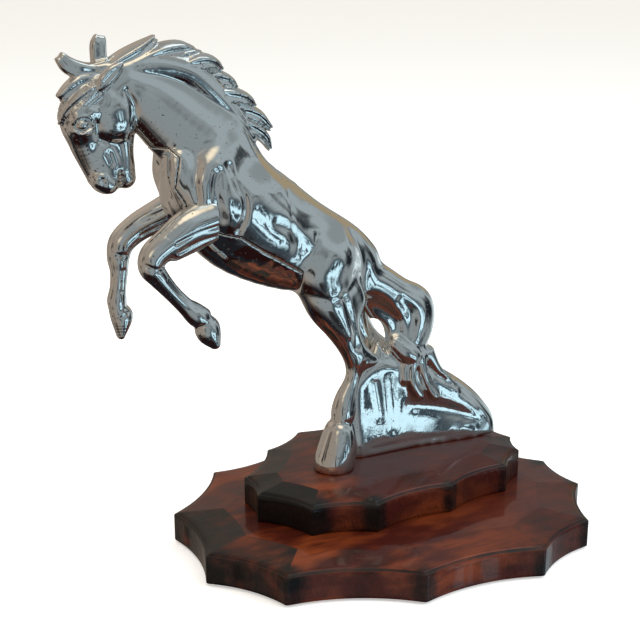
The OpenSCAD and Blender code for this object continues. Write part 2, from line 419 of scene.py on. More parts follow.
# ---- The horse ---------------------------------------------------------------------------
# The horse has its own frame: x along the body with the head at -x, y out from its middle
# plane with the near side at -y, and z up from the top of the upper board.


# The edge of the chest and belly plate, seen from the side
PLATE_EDGE = [
    (-127, 85), (-47, 85), (-47, 119), (-71, 134), (-83, 143), (-94, 146), (-110, 158), (-112, 164),
    (-116, 171), (-115, 178), (-113, 186), (-117, 190.5), (-127, 190.5)]


@dataclass(frozen=True)
class Torso:
    """The barrel of the body and the neck, shared by every casting that meets it."""

    barrel: Run = (
        (-6, 0, 116, 14, 12), (-20, 0, 122, 20, 16), (-46, 0, 132, 26.5, 19),
        (-73, 0, 149, 30.5, 21), (-90, 0, 166, 27, 19))
    neck: Run = (
        (-90, 0, 166, 27, 19), (-92, 0, 186, 23.5, 15.5), (-108, 0, 202, 20.5, 12.5),
        (-122, 0, 214, 17, 10.5), (-134, 0, 221, 12, 8.5))
    lobes: tuple[tuple[float, Run], ...] = (
        (6, ((-76, -9, 158, 20, 14), (-62, -9, 145, 18, 12.5))),
        (6, ((-86, -12, 188, 5, 4), (-94, -14, 182, 7, 5.5), (-101, -15, 174, 8, 6.5),
             (-102, -15.5, 164, 8, 6.5))),
        (3, ((-88, -13, 180, 5, 5), (-91, -15, 170, 8, 7), (-90, -15.5, 159, 8, 7.5), (-89, -14, 150, 6, 6))),
        (3, ((-111, -9, 183, 8, 6), (-110, -10, 174, 9, 7), (-107, -11, 164, 8, 7))),
        (3.5, ((-30, -8.5, 122, 19, 14), (-33, -9.5, 118, 17, 13))))

    def masses(self, clay: Clay) -> None:
        """Builds the barrel, the neck and the large muscles, then softens them together."""
        clay.add(Limb(self.barrel, blend=0))
        clay.add(Limb(self.neck, blend=8))
        for blend, stations in self.lobes:
            lobe = Limb(stations, blend=blend)
            clay.add(lobe)
            clay.add(lobe.mirrored())

    def details(self, clay: Clay) -> None:
        """Presses the furrows between the muscles."""
        for groove in (
            Groove([(-89, -20, 181), (-86, -22, 173), (-82, -22, 164), (-82, -22, 155), (-85, -20, 147)],
                   1.5, 1.9, True),
            Groove([(-96, -21, 178), (-98, -22, 171), (-97, -23, 163), (-94, -22, 154)], 2.2, 1.3, True),
            Groove([(-105, -18, 183), (-107, -19, 174), (-106, -19, 165)], 2.0, 1.4, True),
            Groove([(-84, -19, 193), (-90, -21, 187), (-95, -21, 182)], 2.0, -0.8, True),
            Groove([(-64, -20, 149), (-57, -21, 145), (-51, -21, 138), (-50, -20, 130)], 3.6, 1.3, True),
            Groove([(-38, -18, 139), (-40, -19, 134), (-45, -20, 129), (-51, -19, 123)], 1.6, 1.2, True),
            Groove([(-13, -14, 136), (-8, -15, 126), (-6, -14, 115), (-5, -13, 104)], 3.6, 2.0, True),
            Groove([(-70, -14, 130), (-63, -15, 124), (-56, -15, 118)], 0.6, 0.35, True)):
            clay.press(groove)


@dataclass(frozen=True)
class HindLeg:
    """A hind leg from the stifle down to the hoof, on the near side."""

    limbs: tuple[tuple[float, Run], ...] = (
        (3, ((-31, -10, 113, 17, 11), (-27, -11, 100, 15.5, 10), (-22, -12, 87, 11, 8),
             (-18, -12, 76, 7.5, 6.5), (-13, -12, 66, 6.4, 6))),
        (2, ((-16, -12, 104, 8, 6), (-13, -12, 98, 7, 6), (-15, -12, 88, 4.5, 5), (-12, -12, 74, 4, 4.5),
             (-4, -12, 62, 4, 4))),
        (2, ((-13, -12, 66, 6.2, 5.8), (-13, -12, 57, 4.8, 4.8), (-14.5, -12, 50, 4.6, 4.6),
             (-18, -12, 42, 6.2, 5.6), (-19.5, -12, 34, 7.4, 6.8), (-20, -12, 29, 6.8, 6.6))),
        (3, ((-10, -12, 63, 6, 5), (-4, -12, 61, 4.6, 4), (1, -12, 61, 3.4, 3))))
    hoof: Run = (
        (-22, -12, 21, 9, 8.8), (-23, -12, 13, 11, 10.2), (-25, -12, 4, 12, 11), (-25.5, -12, 0, 11.6, 10.8))

    def masses(self, clay: Clay, side: Side, shift: float) -> None:
        """Adds the leg; the far one stands back by shift."""
        for blend, stations in self.limbs:
            limb = Limb(stations, blend=blend)
            clay.add(limb.mirrored(shift) if side is Side.FAR else limb)

    def details(self, clay: Clay, side: Side, shift: float) -> None:
        """Adds the hoof with its coronet, and presses the furrows."""
        hoof = Limb(self.hoof, blend=0.5)
        clay.add(hoof.mirrored(shift) if side is Side.FAR else hoof)
        for groove in (
            Groove([(-50, -16, 112), (-45, -18, 107), (-36, -20, 103), (-29, -20, 102), (-20, -20, 106),
                    (-14, -19, 113)], 2.4, 1.1),
            Groove([(-33, -20, 106), (-30, -19, 98), (-25, -19, 90), (-19, -18, 80)], 1.6, -0.9),
            Groove([(-24, -20, 104), (-21, -19, 94), (-17, -18, 84), (-14, -17, 72)], 1.8, 1.3),
            Groove([(-9, -17, 62), (-11, -17, 54), (-14, -17, 44), (-17, -18, 34)], 1.2, 0.9),
            Groove([(-32, -13, 28), (-28, -19, 29), (-21, -20, 28), (-13, -18, 24)], 1.1, 1.5),
            Groove([(-27, -22, 20), (-29, -22, 12), (-29, -22, 2)], 1.4, -0.5)):
            clay.press(groove.mirrored(shift) if side is Side.FAR else groove)


@dataclass(frozen=True)
class Head:
    """The head, turned in towards the chest."""

    skull: Run = (
        (-134, 0, 221, 12, 8.5), (-144, 0, 216, 12, 9), (-153, 0, 211, 11, 9.5), (-158, 0, 204, 9.5, 9))
    face: Run = (
        (-158, 0, 204, 9.5, 8.6), (-156, 0, 195, 8.6, 7), (-151.5, 0, 185, 8.4, 6), (-148, 0, 178, 8.4, 6.6),
        (-147, 0, 176, 7.6, 6.8))
    jaw: Run = (
        (-141, 0, 202, 10, 7.5), (-138.5, 0, 190, 6, 6), (-137.5, 0, 181, 5.4, 5.6),
        (-137.5, 0, 176, 5.6, 5.6))

    def masses(self, clay: Clay) -> None:
        """Builds the skull, face and jaw."""
        clay.add(Limb(self.skull, blend=4))
        clay.add(Limb(self.face, blend=3))
        clay.add(Limb(self.jaw, blend=2))
        for side in Side:
            clay.add(Limb([(-144, side * 4.5, 210, 12.5, 6), (-143, side * 4.5, 206, 11.5, 6)], blend=1.5))
            clay.add(Limb([(-161, side * 6, 210, 4, 3.4), (-155, side * 7, 211, 3.6, 3)], blend=2.5))
            clay.add(Limb([(-148, side * 3, 190, 7, 4.4), (-143, side * 3, 180, 6, 3.8)], blend=3))
            clay.add(Limb([(-151, side * 4.4, 176.5, 4.6, 3.6), (-147, side * 4.4, 173.5, 4, 3.2)], blend=2))

    def details(self, clay: Clay) -> None:
        """Cuts the mouth and nostrils, sets the eyes and ears and presses the creases."""
        for z, r in ((174, 1.0), (177, 0.9)):
            x = -140.5 - (z - 172) * 0.12
            clay.cut(Limb([(x, -9, z, r, r), (x, 9, z, r, r)], blend=0.8))
        for side in Side:
            self.eye(clay, side)
            self.ear(clay, side)
            clay.cut(Limb([(-151.5, side * 8.4, 177, 2.0, 1.8),
                           (-150, side * 8.8, 174.5, 1.2, 1.2)], blend=0.8))
            clay.cut(Limb([(-141.5, side * 8, 180, 1.4, 2.4), (-141, side * 8, 175, 2.6, 3.2)], blend=1))
            clay.press(Groove([(-141, side * 6.5, 175), (-141.5, side * 6, 169)], 0.8, 1.0))
            clay.cut(Limb([(-147, side * 8.6, 190, 2.2, 2.0),
                           (-145.5, side * 8.4, 185, 1.6, 1.8)], blend=1.5))
            for groove in (
                Groove([(-155, side * 8, 176), (-153, side * 8.6, 180), (-149, side * 8.4, 179)], 1.0, -0.8),
                Groove([(-138, side * 8, 196), (-137.5, side * 7, 188), (-137, side * 7, 180)], 2.0, -0.5),
                Groove([(-153, side * 9, 205), (-152, side * 9.4, 199), (-147, side * 10, 196.5),
                        (-141, side * 10, 198)], 1.3, 1.2),
                Groove([(-135, side * 8, 203), (-133, side * 8.4, 211), (-137, side * 8.8, 220)], 1.5, 1.6),
                Groove([(-150, side * 9, 170), (-145, side * 8, 171)], 1.2, 0.8)):
                clay.press(groove)

    def eye(self, clay: Clay, side: Side) -> None:
        """Sets one eye in its socket, with its lids and the ripples over the temple."""
        clay.cut(Limb([(-161, side * 9.4, 204.5, 3.6, 2.0),
                       (-158.5, side * 9.8, 205.5, 3.6, 2.0)], blend=1.5))
        clay.add(Limb([(-160, side * 7.6, 205, 2.8, 2.5), (-159.4, side * 7.6, 205, 2.8, 2.5)], blend=0.2))
        for path, width, depth in (
            ([(-165, side * 8, 206), (-162, side * 9.4, 209), (-157.5, side * 9.8, 208.6),
              (-155, side * 9.6, 205)], 0.9, -1.2),
            ([(-164, side * 8, 202), (-160.5, side * 9, 200.6), (-156, side * 9.2, 202)], 0.8, -1.0)):
            clay.press(Groove(path, width, depth))
        for radius, depth in ((1.4, 0.8), (3.2, 0.5), (5.0, 0.35)):
            ring = [(-152 + radius * math.cos(a), side * 9.6, 217 + radius * math.sin(a))
                    for a in np.linspace(0, 2 * math.pi, 9)]
            clay.press(Groove(ring, 0.7, depth))

    def ear(self, clay: Clay, side: Side) -> None:
        """Adds one ear, laid back along the poll, with its opening."""
        clay.add(Limb([(-150, side * 8.4, 223, 3.2, 2.8), (-147, side * 9.4, 226.5, 3.8, 2.8),
                       (-143.5, side * 9.8, 230, 3.2, 2.4), (-139.5, side * 9.8, 233, 1.2, 1.2)], blend=1.0))
        clay.cut(Limb([(-149, side * 12, 225, 0.9, 1.0), (-146, side * 12.4, 228, 1.3, 1.3),
                       (-142.5, side * 12, 231, 0.7, 0.8)], blend=0.7))


@dataclass(frozen=True)
class Mane:
    """The mane that flies back from the crest, with the forelock."""

    fill: Run = (
        (-136, 0, 229, 6, 7), (-120, 0, 230, 8.4, 8), (-104, 0, 226, 8.4, 8.5), (-93, 0, 217, 8.4, 8.5),
        (-81, 0, 204, 7.6, 8), (-71, 0, 192, 6, 7))
    locks: tuple[Run, ...] = (
        ((-146, 0, 228, 5, 6), (-137, 0, 233, 6, 6.4), (-128, 0, 237.5, 5.6, 6), (-121, 0, 242, 3.6, 4)),
        ((-130, 0, 231, 6, 7), (-118, 0, 235.5, 6.4, 7), (-108, 1, 237, 6, 6.4), (-102, 1, 236.5, 4.4, 5)),
        ((-120, 0, 229, 5, 7), (-110, 1, 232, 5.4, 7), (-102, 1, 234, 5, 6), (-97, 1, 234.5, 3.2, 4)),
        ((-109, 0, 227, 6, 7.6), (-99, -1, 230.5, 6, 7), (-91, -1, 230, 5, 5.6), (-86, -1, 227, 3, 3.6)),
        ((-100, 0, 220, 6, 7.8), (-90, 1, 222, 6, 7), (-82, 1, 220.5, 4.8, 5.4), (-77.5, 1, 217.5, 3, 3.6)),
        ((-93, 0, 213, 6, 7.8), (-83, -1, 213.5, 6, 7), (-73, -1, 211, 4.8, 5.2), (-68, -1, 207.5, 2.8, 3.4)),
        ((-85, 0, 206, 6, 7.6), (-74, 1, 204.5, 6, 7), (-65, 1, 201, 5.2, 5.4), (-58.5, 1, 195.5, 3.2, 3.8)),
        ((-79, 0, 198, 5.4, 7), (-70, -1, 196, 5.4, 6.4), (-62.5, -1, 191, 4.4, 4.8), (-59, -1, 185, 2.4, 3)))
    forelock: tuple[Run, ...] = (
        ((-144, 0, 229, 6, 6), (-152, 0, 228.5, 5.4, 5.4), (-158, -1, 230, 5, 4.6), (-163, -1, 232.5, 4.6, 4),
         (-166, -1, 235.5, 3.6, 3.2)),
        ((-147, 0, 223, 6, 7), (-156, -1, 224.5, 5.4, 5.6), (-162, -2, 222, 4.8, 4.8),
         (-167, -2, 218.5, 3.4, 3.8)),
        ((-146, 4, 229, 5, 4), (-146.5, 4, 235, 4.6, 3.8), (-146.5, 4, 240, 4.6, 3.6),
         (-146, 4, 242.5, 4, 3.2)))
    fringe: tuple[Run, ...] = (
        ((-151, -3, 222, 5, 6), (-159, -4, 218, 4.8, 5.6), (-166, -3, 212, 3.4, 4),
         (-169, -2, 206, 1.8, 2.4)),
        ((-150, 3, 221, 5, 6), (-160, 3, 216, 4.8, 5.4), (-167, 1, 209, 3, 3.6), (-167, 0, 202, 1.6, 2.2)),
        ((-152, -6, 219, 4, 4.4), (-158, -7, 214.5, 3, 3.2), (-163, -6.5, 210.5, 1.8, 2)),
        ((-148, -6, 224, 4, 4), (-155, -7, 221, 3.4, 3.4), (-161, -6, 217, 2.4, 2.6)))

    def details(self, clay: Clay) -> None:
        """Adds the mane's body, then each lock with its strands and the groove along the crest."""
        clay.add(Limb(self.fill, blend=1.0))
        for lock in self.locks:
            clay.add(Limb(lock, blend=0.4, strands=2.6, depth=0.9))
        for lock in self.forelock:
            clay.add(Limb(lock, blend=0.8, strands=1.6, depth=0.8))
        for lock in self.fringe:
            clay.add(Limb(lock, blend=0.4, strands=3, depth=0.8))
        crest = [(-137, 9, 231), (-121, 9.5, 230), (-108, 10, 226), (-99, 10.5, 221), (-90, 11, 211),
                 (-81, 11, 202), (-73, 11, 193), (-65, 10, 185)]
        clay.press(Groove(crest, 0.8, 1.6, True))


@dataclass(frozen=True)
class Tail:
    """The tail, arched down onto the foot of the casting."""

    arch: Run = (
        (-4, 0, 108, 13, 11), (8, 0, 102, 11, 10), (21, 0, 92, 11.5, 9), (31, 0, 84, 13.5, 9),
        (32, 0, 73, 13, 9), (30, 0, 62, 10, 8), (31, 0, 52, 9.5, 8))
    web: Run = ((4, 0, 96, 9, 4.5), (12, 0, 84, 9, 4), (16, 0, 70, 8, 4), (12, 0, 56, 10, 5))
    gap: Run = ((6, 0, 81, 1.6, 1.6), (9.5, 0, 74, 4, 4), (12, 0, 67, 3.6, 3.6),
                                (13, 0, 61, 1.4, 1.4))
    locks: tuple[Run, ...] = (
        ((27, -5, 58, 4, 4), (23, -6, 50, 2.6, 3), (23, -7, 43, 2, 2.4)),
        ((30, -5, 58, 5, 5), (27, -7, 48, 3, 3.6), (28, -8, 40, 2.8, 3.4), (32, -8, 33, 3.6, 3.8)),
        ((34, -4, 58, 5, 5), (35, -7, 47, 3, 3.4), (38, -8, 38, 2.8, 3.2), (42, -9, 31, 3.2, 3.4)),
        ((40, -3, 56, 5, 5), (46, -5, 46, 2.8, 3.4), (53, -6, 38, 2.4, 3.2), (59, -7, 31, 2, 2.8)),
        ((36, 4, 58, 6, 5), (40, 6, 48, 5, 4.6), (46, 8, 38, 4, 3.8), (50, 9, 32, 3.2, 3)))

    def masses(self, clay: Clay) -> None:
        """Adds the arch and the web that joins it to the legs."""
        clay.add(Limb(self.arch, blend=3))
        clay.add(Limb(self.web, blend=3))

    def details(self, clay: Clay) -> None:
        """Cuts the gap behind the legs, scoops the near face and lays the strands."""
        for shift in (-4, 0, 4):
            clay.cut(Limb([(x, shift, z, r, r) for x, _, z, r, _ in self.gap], blend=1))
        clay.cut(Limb([(19, -12, 92, 4, 4), (25, -13, 82, 7, 6.5), (25, -13, 71, 6, 6),
                       (27, -12, 60, 4, 4)], blend=2))
        clay.add(Limb([(18, -5, 66, 5, 4), (24, -6, 60, 6, 5), (28, -6, 57, 5, 5)], blend=2))
        for lock in self.locks:
            clay.add(Limb(lock, blend=1.2))
        for offset in (0, 3.4, 6.8):
            path = [(33 + offset * 0.5, -8.6, 96 - offset * 0.6), (38 + offset * 0.6, -8.6, 87),
                    (37 + offset * 0.8, -8.6, 76), (33 + offset * 0.8, -8.6, 66), (32 + offset * 0.5, -8, 58)]
            clay.press(Groove(path, 0.9, 1.3, True))


@dataclass(frozen=True)
class Foot:
    """The wave-shaped foot that the casting stands on."""

    ridge: Run = (
        (-6, 0, 43, 6.5, 6), (2, 0, 51, 6.5, 6), (12, 0, 52, 7, 7), (26, 0, 46, 8, 7.5), (44, 0, 39, 8, 8.5),
        (58, 0, 30, 8, 9.5), (70, 0, 19, 8.5, 11), (80, 0, 7, 8, 12))
    tuck: float = 1.2
    taper: float = 0.94
    skirt: tuple[tuple[float, float], ...] = ((-6, 7.5), (15, 8), (30, 8.2), (47, 10), (65, 13.5), (80, 14))

    def masses(self, clay: Clay) -> None:
        """Fills the wall between the ridge and the skirt."""
        for x, y, z, r, w in spline(self.ridge, 4):
            base = float(np.interp(x, [s[0] for s in self.skirt], [s[1] for s in self.skirt]))
            waist = (w + base) * 0.5 - self.tuck
            clay.add(Limb([(x, y, z, r, w), (x, y, z * 0.45 + 2, r, waist), (x, y, 5, r, base * self.taper),
                           (x, y, -2, r, base)], blend=1.5, steps=3))

    def details(self, clay: Clay) -> None:
        """Presses the shallow hollows of the near face and the lip along its bottom."""
        for groove in (
            Groove([(2, -9, 4.4), (24, -9, 4.4), (44, -10.5, 4.2), (62, -14, 4), (76, -15, 4)],
                   1.0, 1.6, True),
            Groove([(4, -8, 44), (6, -8, 34), (8, -8, 22)], 2.0, 1.4),
            Groove([(14, -8, 46), (16, -8, 30), (16, -9, 14)], 3.0, 0.5),
            Groove([(30, -8, 26), (46, -10, 22), (62, -12, 16), (74, -13, 10)], 4.0, 0.9),
            Groove([(48, -8, 41), (60, -9, 32), (70, -11, 22), (78, -13, 10)], 1.6, 0.9)):
            clay.press(groove)


@dataclass
class HorseFrame:
    """Where the horse's own frame stands in the part."""

    middle: float
    deck: float

    def place(self, verts: np.ndarray) -> np.ndarray:
        """Turns vertices in the horse's frame, in millimetres, into metres in the part's frame."""
        return verts * MM + np.array([0, self.middle, self.deck])


@dataclass
class HorseCasting:
    """The main casting: head, neck, back, hind legs, tail and foot."""

    seat: HorseFrame
    fine: float = 0.66
    coarse: float = 1.38
    across: float = 0.88
    hind_step: float = 19.0

    def grid(self) -> tuple[np.ndarray, np.ndarray, np.ndarray]:
        """Lays out grid lines that are close around the head and mane."""
        return (spacing([(-176, -55, self.fine * COARSER), (-55, 95, self.coarse * COARSER)]),
                spacing([(-27, 27, self.across * COARSER)]),
                spacing([(-4, 165, self.coarse * COARSER), (165, 252, self.fine * COARSER)]))

    def build(self) -> bpy.types.Object:
        """Sculpts the casting and gives it a skin."""
        clay = Clay(*self.grid())
        torso, leg, tail, foot, head = Torso(), HindLeg(), Tail(), Foot(), Head()
        torso.masses(clay)
        for side, shift in ((Side.NEAR, 0.0), (Side.FAR, self.hind_step)):
            leg.masses(clay, side, shift)
        tail.masses(clay)
        foot.masses(clay)
        clay.soften(MELT)
        torso.details(clay)
        head.masses(clay)
        for side, shift in ((Side.NEAR, 0.0), (Side.FAR, self.hind_step)):
            leg.details(clay, side, shift)
        tail.details(clay)
        foot.details(clay)
        head.details(clay)
        Mane().details(clay)
        x, _, z = clay.lines()
        clay.keep(-z)
        clay.keep(-polygon_field(PLATE_EDGE, x, z))
        verts, quads = clay.cast()
        LOG.info("horse casting: %d quads", len(quads))
        return make_object("horse_casting_skin", self.seat.place(verts), quads)


@dataclass
class BellyPlate:
    """The plate that closes the chest and belly."""

    seat: HorseFrame
    step: float = 0.6
    seam: float = 0.3

    def build(self) -> bpy.types.Object:
        """Sculpts the plate from the same torso as the main casting."""
        clay = Clay(spacing([(-124, -44, self.step * COARSER)]), spacing([(-26, 26, self.step * COARSER)]),
                    spacing([(98, 194, self.step * COARSER)]))
        Torso().masses(clay)
        clay.soften(MELT)
        Torso().details(clay)
        x, _, z = clay.lines()
        clay.keep(polygon_field(PLATE_EDGE, x, z) + self.seam)
        verts, quads = clay.cast()
        LOG.info("belly plate: %d quads", len(quads))
        return make_object("belly_plate_skin", self.seat.place(verts), quads)


@dataclass
class Foreleg:
    """A bent foreleg, cast on its own and fixed to the side of the chest."""

    seat: HorseFrame
    name: str
    limbs: list[tuple[float, list[Station]]]
    hoof: list[Station]
    sole: tuple[Point, Point]
    grooves: list[Groove]
    step: float = 0.5

    def build(self) -> bpy.types.Object:
        """Sculpts the leg and trims its root to the side of the chest."""
        rows = np.array([s for _, stations in self.limbs for s in stations] + self.hoof)
        low = (rows[:, :3] - rows[:, 3:4]).min(0) - 2
        high = (rows[:, :3] + rows[:, 3:4]).max(0) + 2
        clay = Clay(*[spacing([(lo, hi, self.step * COARSER)]) for lo, hi in zip(low, high)])
        for blend, stations in self.limbs:
            clay.add(Limb(stations, blend=blend))
        clay.soften(0.7)
        clay.add(Limb(self.hoof, blend=0.4))
        (px, py, pz), (nx, ny, nz) = self.sole
        x, y, z = clay.lines()
        clay.keep((x - px) * nx + (y - py) * ny + (z - pz) * nz)
        for groove in self.grooves:
            clay.press(groove)
        chest = Clay(*clay.axes)
        Torso().masses(chest)
        chest.soften(MELT)
        clay.keep(-chest.field)
        verts, quads = clay.cast()
        LOG.info("%s: %d quads", self.name, len(quads))
        return make_object(self.name, self.seat.place(verts), quads)


def near_foreleg(seat: HorseFrame) -> Foreleg:
    """Gives the near foreleg, its knee raised and its hoof tucked back."""
    return Foreleg(
        seat, "near_foreleg_skin",
        [(0, [(-99, -17, 155, 10, 9), (-111, -19, 152, 9.6, 8), (-122, -20, 146, 8, 7.2),
              (-130.5, -20, 140, 7.4, 6.8), (-132.5, -20, 134, 6.6, 6.4), (-129, -20, 128, 5.4, 5.4),
              (-122, -20, 119, 4.4, 4.4), (-115, -20, 111, 4.6, 4.4), (-109, -20, 105, 5.8, 5.4),
              (-105, -20, 101, 4.6, 4.6)]),
         (2, [(-99, -18, 149, 6.5, 7), (-110, -19, 144, 5.4, 6), (-120, -20, 140, 4.4, 5.4)]),
         (1.5, [(-111, -20, 109, 4, 4), (-104, -20, 106, 2.4, 3)])],
        [(-105, -20, 101, 5.2, 5), (-103, -20, 96, 6.8, 5.8), (-100, -20, 89, 3.2, 4.6)],
        ((-97.4, -20, 96), (1, 0, 0)),
        [Groove([(-125, -27, 150), (-116, -27.5, 156), (-108, -27, 161)], 1.1, 1.2),
         Groove([(-121, -27, 146), (-110, -27.5, 150), (-98, -26, 152)], 1.0, 1.3),
         Groove([(-119, -26, 141), (-108, -26, 145), (-97, -25, 147)], 1.0, 1.3),
         Groove([(-137, -25, 136), (-132, -27, 133.5), (-127, -25, 134)], 1.4, 1.0),
         Groove([(-125, -25, 127), (-118, -24.5, 118), (-111, -25, 110)], 1.0, 0.9),
         Groove([(-110, -23, 100), (-106, -26, 101.5), (-101, -26, 104), (-98, -24, 105)], 0.8, 1.0)])


def far_foreleg(seat: HorseFrame) -> Foreleg:
    """Gives the far foreleg, its cannon hanging straight down."""
    return Foreleg(
        seat, "far_foreleg_skin",
        [(0, [(-105, 15, 154, 10, 8.5), (-116, 16, 150, 8.6, 7.6), (-126, 18, 145, 7.6, 7),
              (-134.5, 18, 138.5, 7, 6.6), (-137, 18, 131, 6, 6), (-137, 18, 123, 4.8, 4.8),
              (-138, 18, 114, 4.4, 4.4), (-139, 18, 107, 5.2, 5), (-138.5, 18, 102, 4.6, 4.6)])],
        [(-138.5, 18, 102, 5, 4.8), (-136.5, 18, 97, 6, 5.4), (-137.5, 18, 88, 2.6, 4)],
        ((-131.5, 18, 97), (0.88, 0, -0.47)),
        [Groove([(-129, 11, 149), (-118, 10, 153), (-108, 9, 157)], 1.1, 1.1),
         Groove([(-126, 11, 142), (-116, 10, 147), (-108, 9, 150)], 1.1, 1.1),
         Groove([(-140, 12, 133), (-134, 12, 132)], 1.4, 0.9),
         Groove([(-136, 13.5, 124), (-137, 13.5, 113)], 1.0, 0.8),
         Groove([(-143, 14, 97), (-139, 12.5, 98.5), (-133, 13, 102)], 0.8, 1.0)])


# ---- The plinth --------------------------------------------------------------------------


@dataclass
class Board:
    """A scalloped board with a stepped lip and hollowed facets along its top edge."""

    name: str
    corners: list[tuple[float, float]]
    bottom: float
    top: float
    scallop: float = 0.085
    lip: float = 1.6
    lip_height: float = 3.0
    facet: float = 22.0
    fall: float = 2.2
    burn_and_shade: tuple[float, ...] = ()
    scorches: tuple[tuple[float, float, float, float], ...] = ()
    points: int = 40
    hole_sides: int = 48
    margin: float = 3.0
    mesh: float = 5.0

    def ring(self, inset: float, z: float) -> np.ndarray:
        """Walks round the board at one inset and height, arc by arc."""
        corners = np.array(self.corners, dtype=float)
        arcs = []
        for a, b in zip(corners, np.roll(corners, -1, axis=0)):
            run = b - a
            size = float(np.hypot(*run))
            radius = size * (1 / (8 * self.scallop) + self.scallop / 2)
            out = np.array([run[1], -run[0]]) / size
            arcs.append(((a + b) / 2 + out * (radius - self.scallop * size), radius + inset))
        meets = [self.meet(arcs[i - 1], arcs[i], corners[i]) for i in range(len(arcs))]
        rows = []
        for i, (centre, _) in enumerate(arcs):
            start, stop = meets[i] - centre, meets[(i + 1) % len(arcs)] - centre
            first = math.atan2(start[1], start[0])
            turn = (math.atan2(stop[1], stop[0]) - first + math.pi) % (2 * math.pi) - math.pi
            for t in np.linspace(0, 1, self.points, endpoint=False):
                t = t * t * (3 - 2 * t) * 0.5 + t * 0.5
                angle = first + turn * t
                radius = np.hypot(*start) * (1 - t) + np.hypot(*stop) * t
                rows.append((centre[0] + radius * math.cos(angle), centre[1] + radius * math.sin(angle), z))
        return np.array(rows)

    @staticmethod
    def meet(one: tuple, other: tuple, near: np.ndarray) -> np.ndarray:
        """Finds where two circles cross, on the side nearest to a point."""
        (c0, r0), (c1, r1) = one, other
        gap = float(np.hypot(*(c1 - c0)))
        along = (gap * gap + r0 * r0 - r1 * r1) / (2 * gap)
        tall = math.sqrt(max(r0 * r0 - along * along, 0))
        unit = (c1 - c0) / gap
        spots = [c0 + unit * along + s * tall * np.array([-unit[1], unit[0]]) for s in (-1, 1)]
        return min(spots, key=lambda p: float(np.hypot(*(p - near))))

    def profile(self) -> list[tuple[float, float]]:
        """Gives the inset and height of each ring, from the underside up over the edge."""
        shelf = self.top - self.lip_height
        brow = self.top - self.fall
        rows = [(3.0, self.bottom), (0.6, self.bottom), (0.2, self.bottom + 0.2), (0.0, self.bottom + 0.7)]
        rows += [(0.0, z) for z in np.linspace(self.bottom + 2, shelf - 0.6, 8)]
        rows += [(0.15, shelf - 0.15), (0.5, shelf), (self.lip - 0.35, shelf), (self.lip - 0.1, shelf + 0.15),
                 (self.lip, shelf + 0.4), (self.lip, brow - 0.7), (self.lip + 0.15, brow - 0.25)]
        for t in (0.03, 0.15, 0.3, 0.5, 0.7, 0.85, 0.93, 0.97, 1.0):
            rows.append((self.lip + self.facet * t, self.top - self.fall * (1 - t)))
        return rows

    def build(self) -> bpy.types.Object:
        """Stacks the rings, rounds their corners and closes the underside and the top."""
        rings = [self.rounded(self.ring(inset, z)) for inset, z in self.profile()]
        n = len(rings[0])
        verts = np.concatenate(rings)
        faces = [(k * n + i, k * n + (i + 1) % n, (k + 1) * n + (i + 1) % n, (k + 1) * n + i)
                 for k in range(len(rings) - 1) for i in range(n)]
        faces.append(tuple(reversed(range(n))))
        last = (len(rings) - 1) * n
        inner = [Vector(p[:2]) for p in rings[-1]]
        low, high = rings[-1].min(0), rings[-1].max(0)
        grid = [Vector((x, y)) for x in np.arange(low[0] + self.margin, high[0], self.mesh)
                for y in np.arange(low[1] + self.margin, high[1], self.mesh)]
        spots, _, tris, *_ = delaunay_2d_cdt(inner + grid, [], [list(range(n))], 1, 1e-5)
        own = {i: last + i for i in range(n)}
        extra = [(p[0], p[1], self.top) for p in spots[n:]]
        verts = np.vstack([verts, np.array(extra)]) if extra else verts
        faces += [tuple(own.get(i, last + i) for i in tri) for tri in tris]
        obj = make_object(self.name, verts * MM, faces)
        burn_and_lip_shade = obj.data.attributes.new("scorch", "FLOAT", "POINT")
        burn_and_lip_shade.data.foreach_set("value", self.scorched_and_lip_shaded(verts, len(rings)))
        LOG.info("%s: %d faces", self.name, len(obj.data.polygons))
        return obj

    def scorched_and_lip_shaded(self, verts: np.ndarray, rings: int) -> np.ndarray:
        """Gives how dark each vertex is painted: its scorch, with painted shade along the lip's ledge and
        step.

        Args:
            verts: The board's vertices, ring by ring and then the flat top.
            rings: How many rings there are.

        Returns:
            One share per vertex: its facet's own, a patch's if that is more, and painted shade of at least
                0.62 along the lip's ledge and step.
        """
        burn_and_lip_shade = np.full(len(verts), 0.1)
        if self.burn_and_shade:
            edge = np.repeat(self.burn_and_shade, self.points)
            for k, (inset, z) in enumerate(self.profile()[:rings]):
                # The lip's ledge and step get painted shade, at least as dark as a 0.62 scorch.
                lip = self.top - self.lip_height - 0.1 < z and inset <= self.lip + 0.15
                burn_and_lip_shade[k * len(edge):(k + 1) * len(edge)] = np.maximum(edge, 0.62) if lip else edge
            burn_and_lip_shade[(rings - 1) * len(edge):rings * len(edge)] = 0.1
        for x, y, radius, strength in self.scorches:
            far = np.hypot(verts[:, 0] - x, verts[:, 1] - y) / radius
            burn_and_lip_shade = np.maximum(burn_and_lip_shade, strength * np.clip(1.5 - far, 0, 1))
        return np.clip(burn_and_lip_shade, 0, 1)

